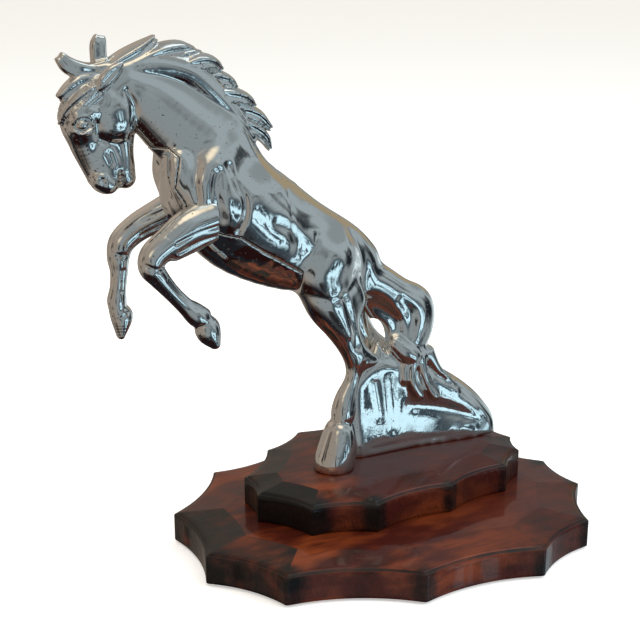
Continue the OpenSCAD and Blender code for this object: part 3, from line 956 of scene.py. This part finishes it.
    def drill(self, obj: bpy.types.Object, holes: list[tuple[Point, float, float]]) -> None:
        """Cuts round holes upwards into the board: foot of the hole, its radius and height."""
        sides = self.hole_sides
        turn = np.linspace(0, 2 * math.pi, sides, endpoint=False)
        faces = [(i, (i + 1) % sides, sides + (i + 1) % sides, sides + i) for i in range(sides)]
        faces += [tuple(reversed(range(sides))), tuple(range(sides, 2 * sides))]
        for (x, y, z), radius, tall in holes:
            rings = [np.stack([x + radius * np.cos(turn), y + radius * np.sin(turn), np.full(sides, h)], 1)
                     for h in (z, z + tall)]
            cutter = make_object("cutter", np.concatenate(rings) * MM, faces, smooth=False)
            mod = obj.modifiers.new("hole", "BOOLEAN")
            mod.operation, mod.object, mod.solver = "DIFFERENCE", cutter, "EXACT"
            done = bpy.data.meshes.new_from_object(obj.evaluated_get(bpy.context.evaluated_depsgraph_get()))
            obj.modifiers.remove(mod)
            obj.data = done
            bpy.data.objects.remove(cutter)

    def rounded(self, ring: np.ndarray) -> np.ndarray:
        """Rounds a ring's corners by averaging each point with its neighbours."""
        for _ in range(3):
            ring = (np.roll(ring, 1, axis=0) + 2 * ring + np.roll(ring, -1, axis=0)) / 4
        return ring


@dataclass
class FeltSheet(Board):
    """The felt under the lower board, cut a little smaller than the board."""

    inset: float = 5.0

    def profile(self) -> list[tuple[float, float]]:
        """Gives the rings of a thin sheet with soft edges."""
        low, high, inset = self.bottom, self.top, self.inset
        return [(inset + 0.3, low), (inset, low + 0.3), (inset, high - 0.3), (inset + 0.3, high)]


LOWER_CORNERS = [
    (-116, -12), (-88, -52), (-22, -82), (49, -87), (91, -70), (116, -28),
    (117, 8), (92, 52), (30, 84), (-24, 92), (-71, 85), (-113, 43)]
UPPER_CORNERS = [
    (-77, 7), (-58, -22), (-24, -34), (25, -31), (67, -23), (87, -7),
    (94, 12), (90, 38), (70, 66), (30, 78), (-18, 77), (-46, 61), (-74, 32)]
LOWER_BURNT = (0.6, 0.2, 0.3, 0.42, 0.4, 0.3, 0.3, 0.3, 0.3, 0.35, 0.25, 0.72)
UPPER_BURNT = (0.85, 0.3, 0.2, 0.3, 0.5, 0.45, 0.4, 0.4, 0.4, 0.4, 0.5, 0.65, 0.72)
LOWER_SCORCHES = (
    (-114, -14, 14, 0.7), (-88, -52, 12, 0.7), (-22, -82, 9, 0.6), (49, -87, 8, 0.6), (91, -70, 10, 0.65),
    (116, -28, 10, 0.7), (117, 8, 12, 0.7), (92, 52, 16, 0.6), (-46, -54, 16, 0.45))
UPPER_SCORCHES = (
    (-76, 7, 12, 0.8), (-58, -21, 12, 0.85), (-24, -33, 9, 0.7), (-66, 36, 22, 0.6), (8, -16, 12, 0.45),
    (25, -31, 7, 0.6), (67, -23, 7, 0.6), (90, 4, 12, 0.6), (-6, 58, 30, 0.5))


# ---- Threads -----------------------------------------------------------------------------


@dataclass(frozen=True)
class ThreadedRod:
    """A rod with a helical thread, made by one Geometry Nodes group."""

    radius: float
    pitch: float

    def group(self) -> bpy.types.NodeTree:
        """Builds the group: a core, and a ridge that winds round it once for every pitch."""
        tree = bpy.data.node_groups.new("thread", "GeometryNodeTree")
        for label in ("Radius", "Pitch", "Length"):
            tree.interface.new_socket(label, in_out="INPUT", socket_type="NodeSocketFloat")
        tree.interface.new_socket("Finish", in_out="INPUT", socket_type="NodeSocketMaterial")
        tree.interface.new_socket("Rod", in_out="OUTPUT", socket_type="NodeSocketGeometry")
        given = add_node(tree, "NodeGroupInput").outputs
        root = add_node(tree, MATH, (given["Pitch"], -0.5, given["Radius"]),
                        operation="MULTIPLY_ADD").outputs[0]
        core = add_node(tree, "GeometryNodeMeshCylinder", {"Vertices": 48, "Radius": root,
                                                          "Depth": given["Length"]}).outputs["Mesh"]
        margin = add_node(tree, MATH, (given["Pitch"], -2.0, given["Length"]),
                          operation="MULTIPLY_ADD").outputs[0]
        turns = add_node(tree, MATH, (margin, given["Pitch"]), operation="DIVIDE").outputs[0]
        helix = add_node(tree, "GeometryNodeCurveSpiral", {
            "Resolution": 32, "Rotations": turns, "Start Radius": root, "End Radius": root,
            "Height": margin}).outputs[0]
        wide = add_node(tree, MATH, (given["Pitch"], 0.48), operation="MULTIPLY").outputs[0]
        ridge = add_node(tree, "GeometryNodeCurvePrimitiveCircle", {
            "Resolution": 4, "Radius": wide}).outputs[0]
        wound = add_node(tree, "GeometryNodeCurveToMesh", {"Curve": helix, "Profile Curve": ridge,
                                                           "Fill Caps": True}).outputs[0]
        down = add_node(tree, MATH, (margin, -0.5), operation="MULTIPLY").outputs[0]
        offset = add_node(tree, "ShaderNodeCombineXYZ", {"Z": down}).outputs[0]
        seated = add_node(tree, "GeometryNodeTransform", {
            "Geometry": wound, "Translation": offset}).outputs[0]
        joined = add_node(tree, "GeometryNodeJoinGeometry", {0: core})
        tree.links.new(seated, joined.inputs[0])
        real = add_node(tree, "GeometryNodeRealizeInstances", {0: joined.outputs[0]}).outputs[0]
        plated = add_node(tree, "GeometryNodeSetMaterial", {"Geometry": real, "Material": given["Finish"]})
        add_node(tree, "NodeGroupOutput", {0: plated.outputs[0]})
        return tree

    def build(self, name: str, node: str, finish: bpy.types.Material) -> bpy.types.Object:
        """Winds one rod and places its vertices where the CAD part stands."""
        low, high = (np.array(p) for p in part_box(node))
        tree = bpy.data.node_groups.get("thread") or self.group()
        blank = make_object(name + "_blank", np.zeros((1, 3)), [])
        mod = blank.modifiers.new("thread", "NODES")
        mod.node_group = tree
        sockets = {s.name: s.identifier for s in tree.interface.items_tree if s.in_out == "INPUT"}
        for label, value in (("Radius", self.radius * MM), ("Pitch", self.pitch * MM),
                             ("Length", float(high[2] - low[2])), ("Finish", finish)):
            mod[sockets[label]] = value
        bpy.context.view_layer.update()
        mesh = bpy.data.meshes.new_from_object(blank.evaluated_get(bpy.context.evaluated_depsgraph_get()))
        bpy.data.objects.remove(blank)
        mesh.transform(Matrix.Translation((low + high) / 2))
        rod = bpy.data.objects.new(name, mesh)
        bpy.context.scene.collection.objects.link(rod)
        LOG.info("%s: %d faces", name, len(mesh.polygons))
        return rod


# ---- Finishes ----------------------------------------------------------------------------


NOISE, RAMP, MIX, BUMP, MATH = (
    "ShaderNodeTexNoise", "ShaderNodeMapRange", "ShaderNodeMix", "ShaderNodeBump", "ShaderNodeMath")
VECTOR_MATH, SEPARATE = "ShaderNodeVectorMath", "ShaderNodeSeparateXYZ"
SMOOTH = {"interpolation_type": "SMOOTHSTEP"}
COLOURS = {"data_type": "RGBA"}
ROUGH = 0.6  # How strongly each finer layer of noise counts


def linear(code: str) -> tuple[float, float, float, float]:
    """Turns an sRGB hex colour into linear light."""
    parts = [int(code[i:i + 2], 16) / 255 for i in (1, 3, 5)]
    return (*[c / 12.92 if c <= 0.04045 else ((c + 0.055) / 1.055) ** 2.4 for c in parts], 1.0)


def join(node: bpy.types.Node, links: dict | tuple) -> None:
    """Fills a node's inputs.

    Args:
        node: The node.
        links: Its inputs by name or number, or the first ones in order: an output socket to
            join, or a value to set.
    """
    for key, value in links.items() if isinstance(links, dict) else enumerate(links):
        if isinstance(value, bpy.types.NodeSocket):
            node.id_data.links.new(value, node.inputs[key])
        else:
            node.inputs[key].default_value = value


def add_node(tree: bpy.types.NodeTree, kind: str, links: dict | tuple = (), **settings) -> bpy.types.Node:
    """Adds a node to a tree.

    Args:
        tree: The tree it goes in.
        kind: The node's type.
        links: Its inputs, as join takes them.
        settings: Its own properties.

    Returns:
        The new node.
    """
    made = tree.nodes.new(kind)
    for name, value in settings.items():
        setattr(made, name, value)
    join(made, links)
    return made


def start(name: str) -> tuple[bpy.types.Material, bpy.types.NodeTree, bpy.types.Node, bpy.types.NodeSocket]:
    """Starts a material and reads its object coordinates."""
    material = bpy.data.materials.new(name)
    material.use_nodes = True
    tree = material.node_tree
    place = add_node(tree, "ShaderNodeTexCoord").outputs["Object"]
    return material, tree, tree.nodes["Principled BSDF"], place


@dataclass(frozen=True)
class ChromePlate:
    """Bright chrome over a die casting: the eye gets crisp, slightly wavy reflections and pits."""

    colour: str = "#E9E9E7"
    worn: str = "#8E8880"
    smooth: float = 0.045
    hazy: float = 0.16
    wave: float = 0.05
    pit: float = 0.12
    cloud_size: float = 9.0
    pit_size: float = 1.3
    wave_size: float = 5.0

    def make(self) -> bpy.types.Material:
        """Builds the material."""
        material, tree, shader, place = start("chrome_plate")
        cloud, speck, swell = (
            add_node(tree, NOISE, {"Vector": place, "Scale": 1 / (size * MM), "Detail": detail,
                                   "Roughness": ROUGH}).outputs["Fac"]
            for size, detail in ((self.cloud_size, 4), (self.pit_size, 1), (self.wave_size, 2)))
        haze = add_node(tree, RAMP, (cloud, 0.45, 0.75, self.smooth, self.hazy), **SMOOTH).outputs[0]
        pits = add_node(tree, RAMP, (speck, 0.78, 0.7), **SMOOTH).outputs[0]
        waves = add_node(tree, BUMP, {"Height": swell, "Distance": self.wave * MM, "Strength": 1.0})
        relief = add_node(tree, BUMP, {"Height": pits, "Distance": self.pit * MM, "Strength": 1.0,
                                       "Normal": waves.outputs["Normal"]}).outputs["Normal"]
        colour = add_node(tree, MIX, {0: pits, 6: linear(self.worn), 7: linear(self.colour)}, **COLOURS)
        join(shader, {"Base Color": colour.outputs[2], "Roughness": haze, "Normal": relief, "Metallic": 1.0})
        return material


@dataclass(frozen=True)
class VarnishedWood:
    """Stained pine, scorched black at the facets and corners, with painted shade along the lip's step and a
    painted orange highlight towards the -x end, seen through a thick gloss varnish.
    """

    red: str = "#3E120A"
    orange_tone_and_highlight: str = "#7A3616"
    dark: str = "#1E0B08"
    soot_and_shade: str = "#070606"
    saw_mark: float = 0.8
    saw_lean: float = 0.35
    grain: float = 0.08

    def make(self) -> bpy.types.Material:
        """Builds the material."""
        material, tree, shader, place = start("stained_wood")
        leaning = add_node(tree, "ShaderNodeVectorRotate", {"Vector": place, "Angle": self.saw_lean},
                           rotation_type="X_AXIS").outputs[0]
        fields = []
        for vector, size, detail, stretch in (
                (place, 2.2, 5, (18, 1, 1)), (place, 26, 3, (2.2, 1, 1)), (place, 14, 5, (1.6, 1, 1)),
                (leaning, 1.5, 2, (1, 1, 9))):
            scale = tuple(1 / (size * MM * s) for s in stretch)
            moved = add_node(tree, VECTOR_MATH, (vector, scale), operation="MULTIPLY").outputs[0]
            fields.append(add_node(tree, NOISE, {"Vector": moved, "Scale": 1.0, "Detail": detail,
                                                 "Roughness": ROUGH}).outputs["Fac"])
        grain, broad, ragged, sawn = fields
        along = add_node(tree, SEPARATE, (place,)).outputs["X"]
        # This attribute holds the scorch and the painted shade of the lip's step; both mix the wood towards
        # soot.
        scorch = add_node(tree, "ShaderNodeAttribute", attribute_name="scorch").outputs["Fac"]
        charred_and_shaded = add_node(tree, MATH, (scorch, ragged), operation="ADD").outputs[0]
        facing = add_node(tree, SEPARATE, (add_node(tree, "ShaderNodeNewGeometry").outputs["Normal"],))
        upright = add_node(tree, MATH, (facing.outputs["Z"],), operation="ABSOLUTE").outputs[0]
        pale, front, lines, burn_and_shade, side, gloss = (
            add_node(tree, RAMP, row, **SMOOTH).outputs[0] for row in (
                (broad, 0.42, 0.68), (along, 0.08, -0.04, 0.25, 1.0), (grain, 0.52, 0.85),
                (charred_and_shaded, 0.7, 1.3), (upright, 0.6, 0.2), (broad, 0.3, 0.7, 0.32, 0.5)))
        # The orange patches vary at random in tone and are stronger towards the -x end: a painted highlight.
        amber_and_highlight = add_node(tree, MATH, (pale, front), operation="MULTIPLY").outputs[0]
        colour = linear(self.red)
        for amount, over in ((amber_and_highlight, self.orange_tone_and_highlight), (lines, self.dark), (burn_and_shade, self.soot_and_shade)):
            colour = add_node(tree, MIX, {0: amount, 6: colour, 7: linear(over)}, **COLOURS).outputs[2]
        marks = add_node(tree, MATH, (sawn, side), operation="MULTIPLY").outputs[0]
        sawing = add_node(tree, BUMP, {"Height": marks, "Distance": self.saw_mark * MM, "Strength": 1.0})
        relief = add_node(tree, BUMP, {"Height": grain, "Distance": self.grain * MM, "Strength": 1.0,
                                       "Normal": sawing.outputs["Normal"]}).outputs["Normal"]
        join(shader, {"Base Color": colour, "Normal": relief, "Roughness": gloss, "Specular IOR Level": 0.2,
                      "Coat Weight": 0.5, "Coat Roughness": 0.06})
        return material


@dataclass(frozen=True)
class Felt:
    """Dark felt: it gives the eye a matt nap with short loose fibres."""

    colour: str = "#20342A"
    lint: str = "#3B5247"
    fibre: float = 0.5
    nap: float = 0.25

    def make(self) -> bpy.types.Material:
        """Builds the material."""
        material, tree, shader, place = start("felt")
        fibres = add_node(tree, NOISE, {"Vector": place, "Scale": 1 / (self.fibre * MM), "Detail": 4,
                                        "Roughness": ROUGH}).outputs["Fac"]
        loose = add_node(tree, RAMP, (fibres, 0.4, 0.7), **SMOOTH).outputs[0]
        colour = add_node(tree, MIX, {0: loose, 6: linear(self.colour), 7: linear(self.lint)}, **COLOURS)
        relief = add_node(tree, BUMP, {"Height": fibres, "Distance": self.nap * MM, "Strength": 1.0})
        join(shader, {"Base Color": colour.outputs[2], "Normal": relief.outputs["Normal"], "Roughness": 0.95,
                      "Sheen Weight": 0.4})
        return material


@dataclass(frozen=True)
class PlainMetal:
    """Turned metal from the factory: the eye gets a soft sheen with fine turning marks and stains."""

    name: str
    colour: str
    stain: str
    roughness: float
    stain_size: float = 2.5
    mark: float = 0.3
    mark_depth: float = 0.02
    mark_stretch: float = 4.0

    def make(self) -> bpy.types.Material:
        """Builds the material."""
        material, tree, shader, place = start(self.name)
        across, upward = 1 / (self.mark * MM * self.mark_stretch), 1 / (self.mark * MM)
        round_it = add_node(tree, VECTOR_MATH, (place, (across, across, upward)), operation="MULTIPLY")
        turned = add_node(tree, NOISE, {"Vector": round_it.outputs[0], "Scale": 1.0, "Detail": 2,
                                        "Roughness": ROUGH}).outputs["Fac"]
        blots = add_node(tree, NOISE, {"Vector": place, "Scale": 1 / (self.stain_size * MM), "Detail": 4,
                                       "Roughness": ROUGH}).outputs["Fac"]
        spots = add_node(tree, RAMP, (blots, 0.5, 0.72), **SMOOTH).outputs[0]
        sheen = add_node(tree, RAMP, (spots, 0.0, 1.0, self.roughness, self.roughness + 0.15), **SMOOTH)
        colour = add_node(tree, MIX, {0: spots, 6: linear(self.colour), 7: linear(self.stain)}, **COLOURS)
        relief = add_node(tree, BUMP, {"Height": turned, "Distance": self.mark_depth * MM, "Strength": 1.0})
        join(shader, {"Base Color": colour.outputs[2], "Roughness": sheen.outputs[0],
                      "Normal": relief.outputs["Normal"], "Metallic": 1.0})
        return material


ZINC = PlainMetal("zinc_plated_steel", "#B9BBB6", "#8B8D88", 0.3)
BRASS = PlainMetal("brass", "#B98F4E", "#7F6237", 0.28)


# ---- The studio --------------------------------------------------------------------------


@dataclass(frozen=True)
class Studio:
    """The camera, a pale floor and soft light from a cool window and a warm room."""

    camera_at: Point = (-0.3402, -0.5852, 0.3479)
    yaw: float = -27.0
    pitch: float = -18.0
    lens: float = 73.1
    window_side: Point = (0.83, -0.55, 0)

    def build(self) -> None:
        """Sets up the camera, floor, lights and room."""
        self.camera()
        self.floor()
        self.lights()
        self.room()

    def camera(self) -> None:
        """Adds the camera."""
        data = bpy.data.cameras.new("camera")
        data.lens = self.lens
        data.clip_end = 50
        camera = bpy.data.objects.new("camera", data)
        camera.location = self.camera_at
        camera.rotation_euler = (math.radians(90 + self.pitch), 0, math.radians(self.yaw))
        bpy.context.scene.collection.objects.link(camera)
        bpy.context.scene.camera = camera

    def floor(self) -> None:
        """Adds the floor."""
        size = 6.0
        floor = make_object("floor", np.array([(-size, -size, 0), (size, -size, 0), (size, size, 0),
                                               (-size, size, 0)]), [(0, 1, 2, 3)], smooth=False)
        material = bpy.data.materials.new("floor")
        material.use_nodes = True
        shader = material.node_tree.nodes["Principled BSDF"]
        shader.inputs["Base Color"].default_value = linear("#F4F3F1")
        shader.inputs["Roughness"].default_value = 0.8
        shader.inputs["Emission Color"].default_value = linear("#F4F3F1")
        shader.inputs["Emission Strength"].default_value = 0.5
        floor.data.materials.append(material)
        floor.visible_glossy = False

    def lights(self) -> None:
        """Adds the soft boxes, which light the wood and the floor but aren't mirrored in the plating."""
        self.soft_box("window", (0.95, -1.1, 0.95), (0, 0, 0.12), (0.7, 0.9), 16, "#E8F2FF")
        self.soft_box("sky", (0.0, 0.1, 1.5), (0, 0, 0.1), (1.8, 1.4), 14, "#F1F6FF")
        self.soft_box("warm_wall", (-1.2, 0.6, 0.5), (0, 0, 0.12), (0.6, 0.8), 5, "#FFE3C6")

    def soft_box(self, name: str, at: Point, to: Point, size: tuple[float, float], power: float,
                 colour: str) -> None:
        """Adds one area light that points at a spot."""
        data = bpy.data.lights.new(name, "AREA")
        data.shape = "RECTANGLE"
        data.size, data.size_y = size
        data.energy = power
        data.color = linear(colour)[:3]
        light = bpy.data.objects.new(name, data)
        light.location = at
        light.rotation_euler = (Vector(to) - Vector(at)).to_track_quat("-Z", "Y").to_euler()
        light.visible_glossy = False
        bpy.context.scene.collection.objects.link(light)

    def room(self) -> None:
        """Paints the room that the plating mirrors: cool at the right, warm at the left, dark below."""
        bpy.context.scene.view_settings.view_transform = "Standard"
        world = bpy.data.worlds.new("room")
        bpy.context.scene.world = world
        world.use_nodes = True
        tree = world.node_tree
        tree.nodes.clear()
        direction = add_node(tree, "ShaderNodeTexCoord").outputs["Generated"]
        height = add_node(tree, SEPARATE, (direction,)).outputs["Z"]
        right = add_node(tree, VECTOR_MATH, (direction, self.window_side),
                         operation="DOT_PRODUCT").outputs["Value"]
        drift = add_node(tree, NOISE, {"Vector": direction, "Scale": 1.7, "Detail": 0.0}).outputs["Fac"]
        clutter = add_node(tree, NOISE, {"Vector": direction, "Scale": 2.6, "Detail": 1.2, "Roughness": 0.55,
                                         "Distortion": 0.4}).outputs["Fac"]
        cool, ceiling, drifting, things, low, patch, above = (
            add_node(tree, RAMP, row, **SMOOTH).outputs[0] for row in (
                (right, -0.5, 0.5), (height, 0.55, 0.95), (drift, 0.45, 0.7), (clutter, 0.55, 0.7),
                (height, 0.5, 0.0), (clutter, 0.46, 0.5), (height, -0.78, -0.5)))
        dark = add_node(tree, MATH, (things, low), operation="MULTIPLY").outputs[0]
        wall, pale, ground = (
            add_node(tree, MIX, {0: amount, 6: linear(one), 7: linear(other)}, **COLOURS).outputs[2]
            for amount, one, other in ((cool, "#9C9084", "#8E989C"), (cool, "#AEA192", "#A3B0B6"),
                                       (patch, "#241110", "#1F2126")))
        for amount, over in ((ceiling, linear("#989996")), (drifting, pale), (dark, linear("#33302F"))):
            wall = add_node(tree, MIX, {0: amount, 6: wall, 7: over}, **COLOURS).outputs[2]
        colour = add_node(tree, MIX, {0: above, 6: ground, 7: wall}, **COLOURS).outputs[2]
        for glow in ROOM_GLOWS:
            colour = glow.paint(tree, direction, colour)
        shade = add_node(tree, "ShaderNodeBackground", {"Color": colour, "Strength": 1.0})
        backdrop = add_node(tree, "ShaderNodeBackground", {"Color": linear("#F2F1EF"), "Strength": 1.0})
        seen = add_node(tree, "ShaderNodeLightPath").outputs["Is Camera Ray"]
        both = add_node(tree, "ShaderNodeMixShader", {0: seen, 1: shade.outputs[0], 2: backdrop.outputs[0]})
        add_node(tree, "ShaderNodeOutputWorld", {"Surface": both.outputs[0]})


@dataclass(frozen=True)
class Glow:
    """A soft round patch of the room: where it is in degrees, how wide, how bright and how
    much of it things in the room break up."""

    azimuth: float
    height: float
    size: float
    soft: float
    colour: str
    strength: float = 1.0
    broken: float = 0.0

    def paint(self, tree: bpy.types.NodeTree, direction: bpy.types.NodeSocket,
              under: bpy.types.NodeSocket) -> bpy.types.NodeSocket:
        """Lays the patch over the room painted so far."""
        turn, rise = math.radians(self.azimuth), math.radians(self.height)
        aim = (math.sin(turn) * math.cos(rise), -math.cos(turn) * math.cos(rise), math.sin(rise))
        dot = add_node(tree, VECTOR_MATH, (direction, aim), operation="DOT_PRODUCT").outputs["Value"]
        rim, middle = (math.cos(math.radians(angle)) for angle in (self.size + self.soft, self.size))
        edge = add_node(tree, RAMP, (dot, rim, middle), **SMOOTH).outputs[0]
        if self.broken:
            things = add_node(tree, NOISE, {"Vector": direction, "Scale": 8.0, "Detail": 4.0,
                                            "Roughness": ROUGH, "Distortion": 0.5}).outputs["Fac"]
            seen = add_node(tree, RAMP, (things, 0.44, 0.54), **SMOOTH).outputs[0]
            part = add_node(tree, MATH, (seen, self.broken, 1 - self.broken),
                            operation="MULTIPLY_ADD").outputs[0]
            edge = add_node(tree, MATH, (edge, part), operation="MULTIPLY").outputs[0]
        colour = tuple(c * self.strength for c in linear(self.colour)[:3]) + (1.0,)
        return add_node(tree, MIX, {0: edge, 6: under, 7: colour}, **COLOURS).outputs[2]


ROOM_GLOWS = [
    Glow(-5, 66, 9, 16, "#EFE0C6", 1.5), Glow(-150, 45, 8, 22, "#B9A99A", 1.0),
    Glow(100, 63, 9, 14, "#DCE9EC", 1.7), Glow(70, -8, 5, 14, "#22282E", 1.0),
    Glow(112, -16, 8, 12, "#D8E8EC", 1.3, 0.5), Glow(30, -24, 16, 12, "#3A4650", 1.0),
    Glow(30, -22, 10, 9, "#BFE0EE", 1.5, 1.0), Glow(78, -58, 5, 12, "#CBDADD", 1.3, 0.5),
    Glow(118, 18, 8, 12, "#A99A7E", 1.0), Glow(-40, 20, 4, 8, "#D8CCB4", 1.2)]


def dress(piece: bpy.types.Object, material: bpy.types.Material, slot: str, *nodes: str) -> None:
    """Gives a piece its finish, hangs it from the root body and hides the parts that it stands for."""
    piece.data.materials.clear()
    piece.data.materials.append(material)
    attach(piece, "root")
    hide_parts(*nodes)
    LOG.info("%s stands for %s", piece.name, ", ".join(nodes))


@dataclass(frozen=True)
class Drilling:
    """The holes for the fasteners: radii in millimetres."""

    recess: float = 4.3
    seat: float = 3.4
    shank: float = 2.4
    pilot: float = 2.2
    pocket: float = 9.0
    stud: float = 3.6
    extra: float = 1.0

    def screws(self, lower: Board, upper: Board) -> tuple[list, list]:
        """Gives the holes for the wood screws in the lower and in the upper board."""
        below, above = [], []
        for k in range(1, 5):
            low, high = (np.array(p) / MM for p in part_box(f"plinth_screw_{k}"))
            x, y = (low[:2] + high[:2]) / 2
            start_low, start_up = lower.bottom - self.extra, upper.bottom - self.extra
            below += [((x, y, start_low), self.recess, 1.6), ((x, y, lower.bottom), self.seat, 2.4),
                      ((x, y, lower.bottom), self.shank, lower.top - lower.bottom + self.extra)]
            above.append(((x, y, start_up), self.pilot, high[2] - upper.bottom + 1.2))
        return below, above

    def studs(self, upper: Board) -> list:
        """Gives the pockets and holes for the two studs in the upper board."""
        holes = []
        for end in ("front", "rear"):
            low, high = (np.array(p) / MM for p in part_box(f"{end}_flat_washer"))
            x, y = (low[:2] + high[:2]) / 2
            holes += [((x, y, upper.bottom - self.extra), self.pocket, high[2] - upper.bottom + self.extra),
                      ((x, y, upper.bottom), self.stud, upper.top - upper.bottom + self.extra)]
        return holes


def boards(wood: bpy.types.Material, felt: bpy.types.Material) -> None:
    """Builds the two boards with the holes for their fasteners, and the felt under them."""
    heights = {name: [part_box(name)[end][2] / MM for end in (0, 1)]
               for name in ("lower_plinth", "upper_plinth", "felt_base")}
    lower = Board("lower_plinth_board", LOWER_CORNERS, *heights["lower_plinth"], burn_and_shade=LOWER_BURNT,
                  scorches=LOWER_SCORCHES)
    upper = Board("upper_plinth_board", UPPER_CORNERS, *heights["upper_plinth"], facet=14.0,
                  burn_and_shade=UPPER_BURNT, scorches=UPPER_SCORCHES)
    lower_holes, upper_holes = Drilling().screws(lower, upper)
    upper_holes += Drilling().studs(upper)
    for board, holes in ((lower, lower_holes), (upper, upper_holes)):
        piece = board.build()
        board.drill(piece, holes)
        dress(piece, wood, "stained_wood", board.name.removesuffix("_board"))
    sheet = FeltSheet("felt_sheet", LOWER_CORNERS, *heights["felt_base"])
    piece = sheet.build()
    dress(piece, felt, "felt", "felt_base")
    outline = sheet.ring(sheet.inset, 0)[:, :2] * MM


def main() -> None:
    """Builds the ornament piece by piece."""
    logging.basicConfig(level=logging.INFO, format="%(message)s")
    Studio().build()
    chrome, zinc, brass = ChromePlate().make(), ZINC.make(), BRASS.make()
    stud_low, stud_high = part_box("front_stud")
    seat = HorseFrame((stud_low[1] + stud_high[1]) / 2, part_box("upper_plinth")[1][2])
    dress(HorseCasting(seat).build(), chrome, "chrome_plate", "horse_casting")
    dress(BellyPlate(seat).build(), chrome, "chrome_plate", "belly_plate")
    dress(near_foreleg(seat).build(), chrome, "chrome_plate", "near_foreleg")
    dress(far_foreleg(seat).build(), chrome, "chrome_plate", "far_foreleg")
    boards(VarnishedWood().make(), Felt().make())
    rod = ThreadedRod(radius=(stud_high[0] - stud_low[0]) / 2 / MM, pitch=1.27)
    for end in ("front", "rear"):
        dress(rod.build(f"{end}_stud_rod", f"{end}_stud", zinc), zinc, "zinc_plated_steel", f"{end}_stud")
    for name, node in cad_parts.items():
        if not node.hide_render:
            node.data.materials.clear()
            node.data.materials.append(brass if name.startswith("plinth_screw") else zinc)


if __name__ == "__main__":
    main()
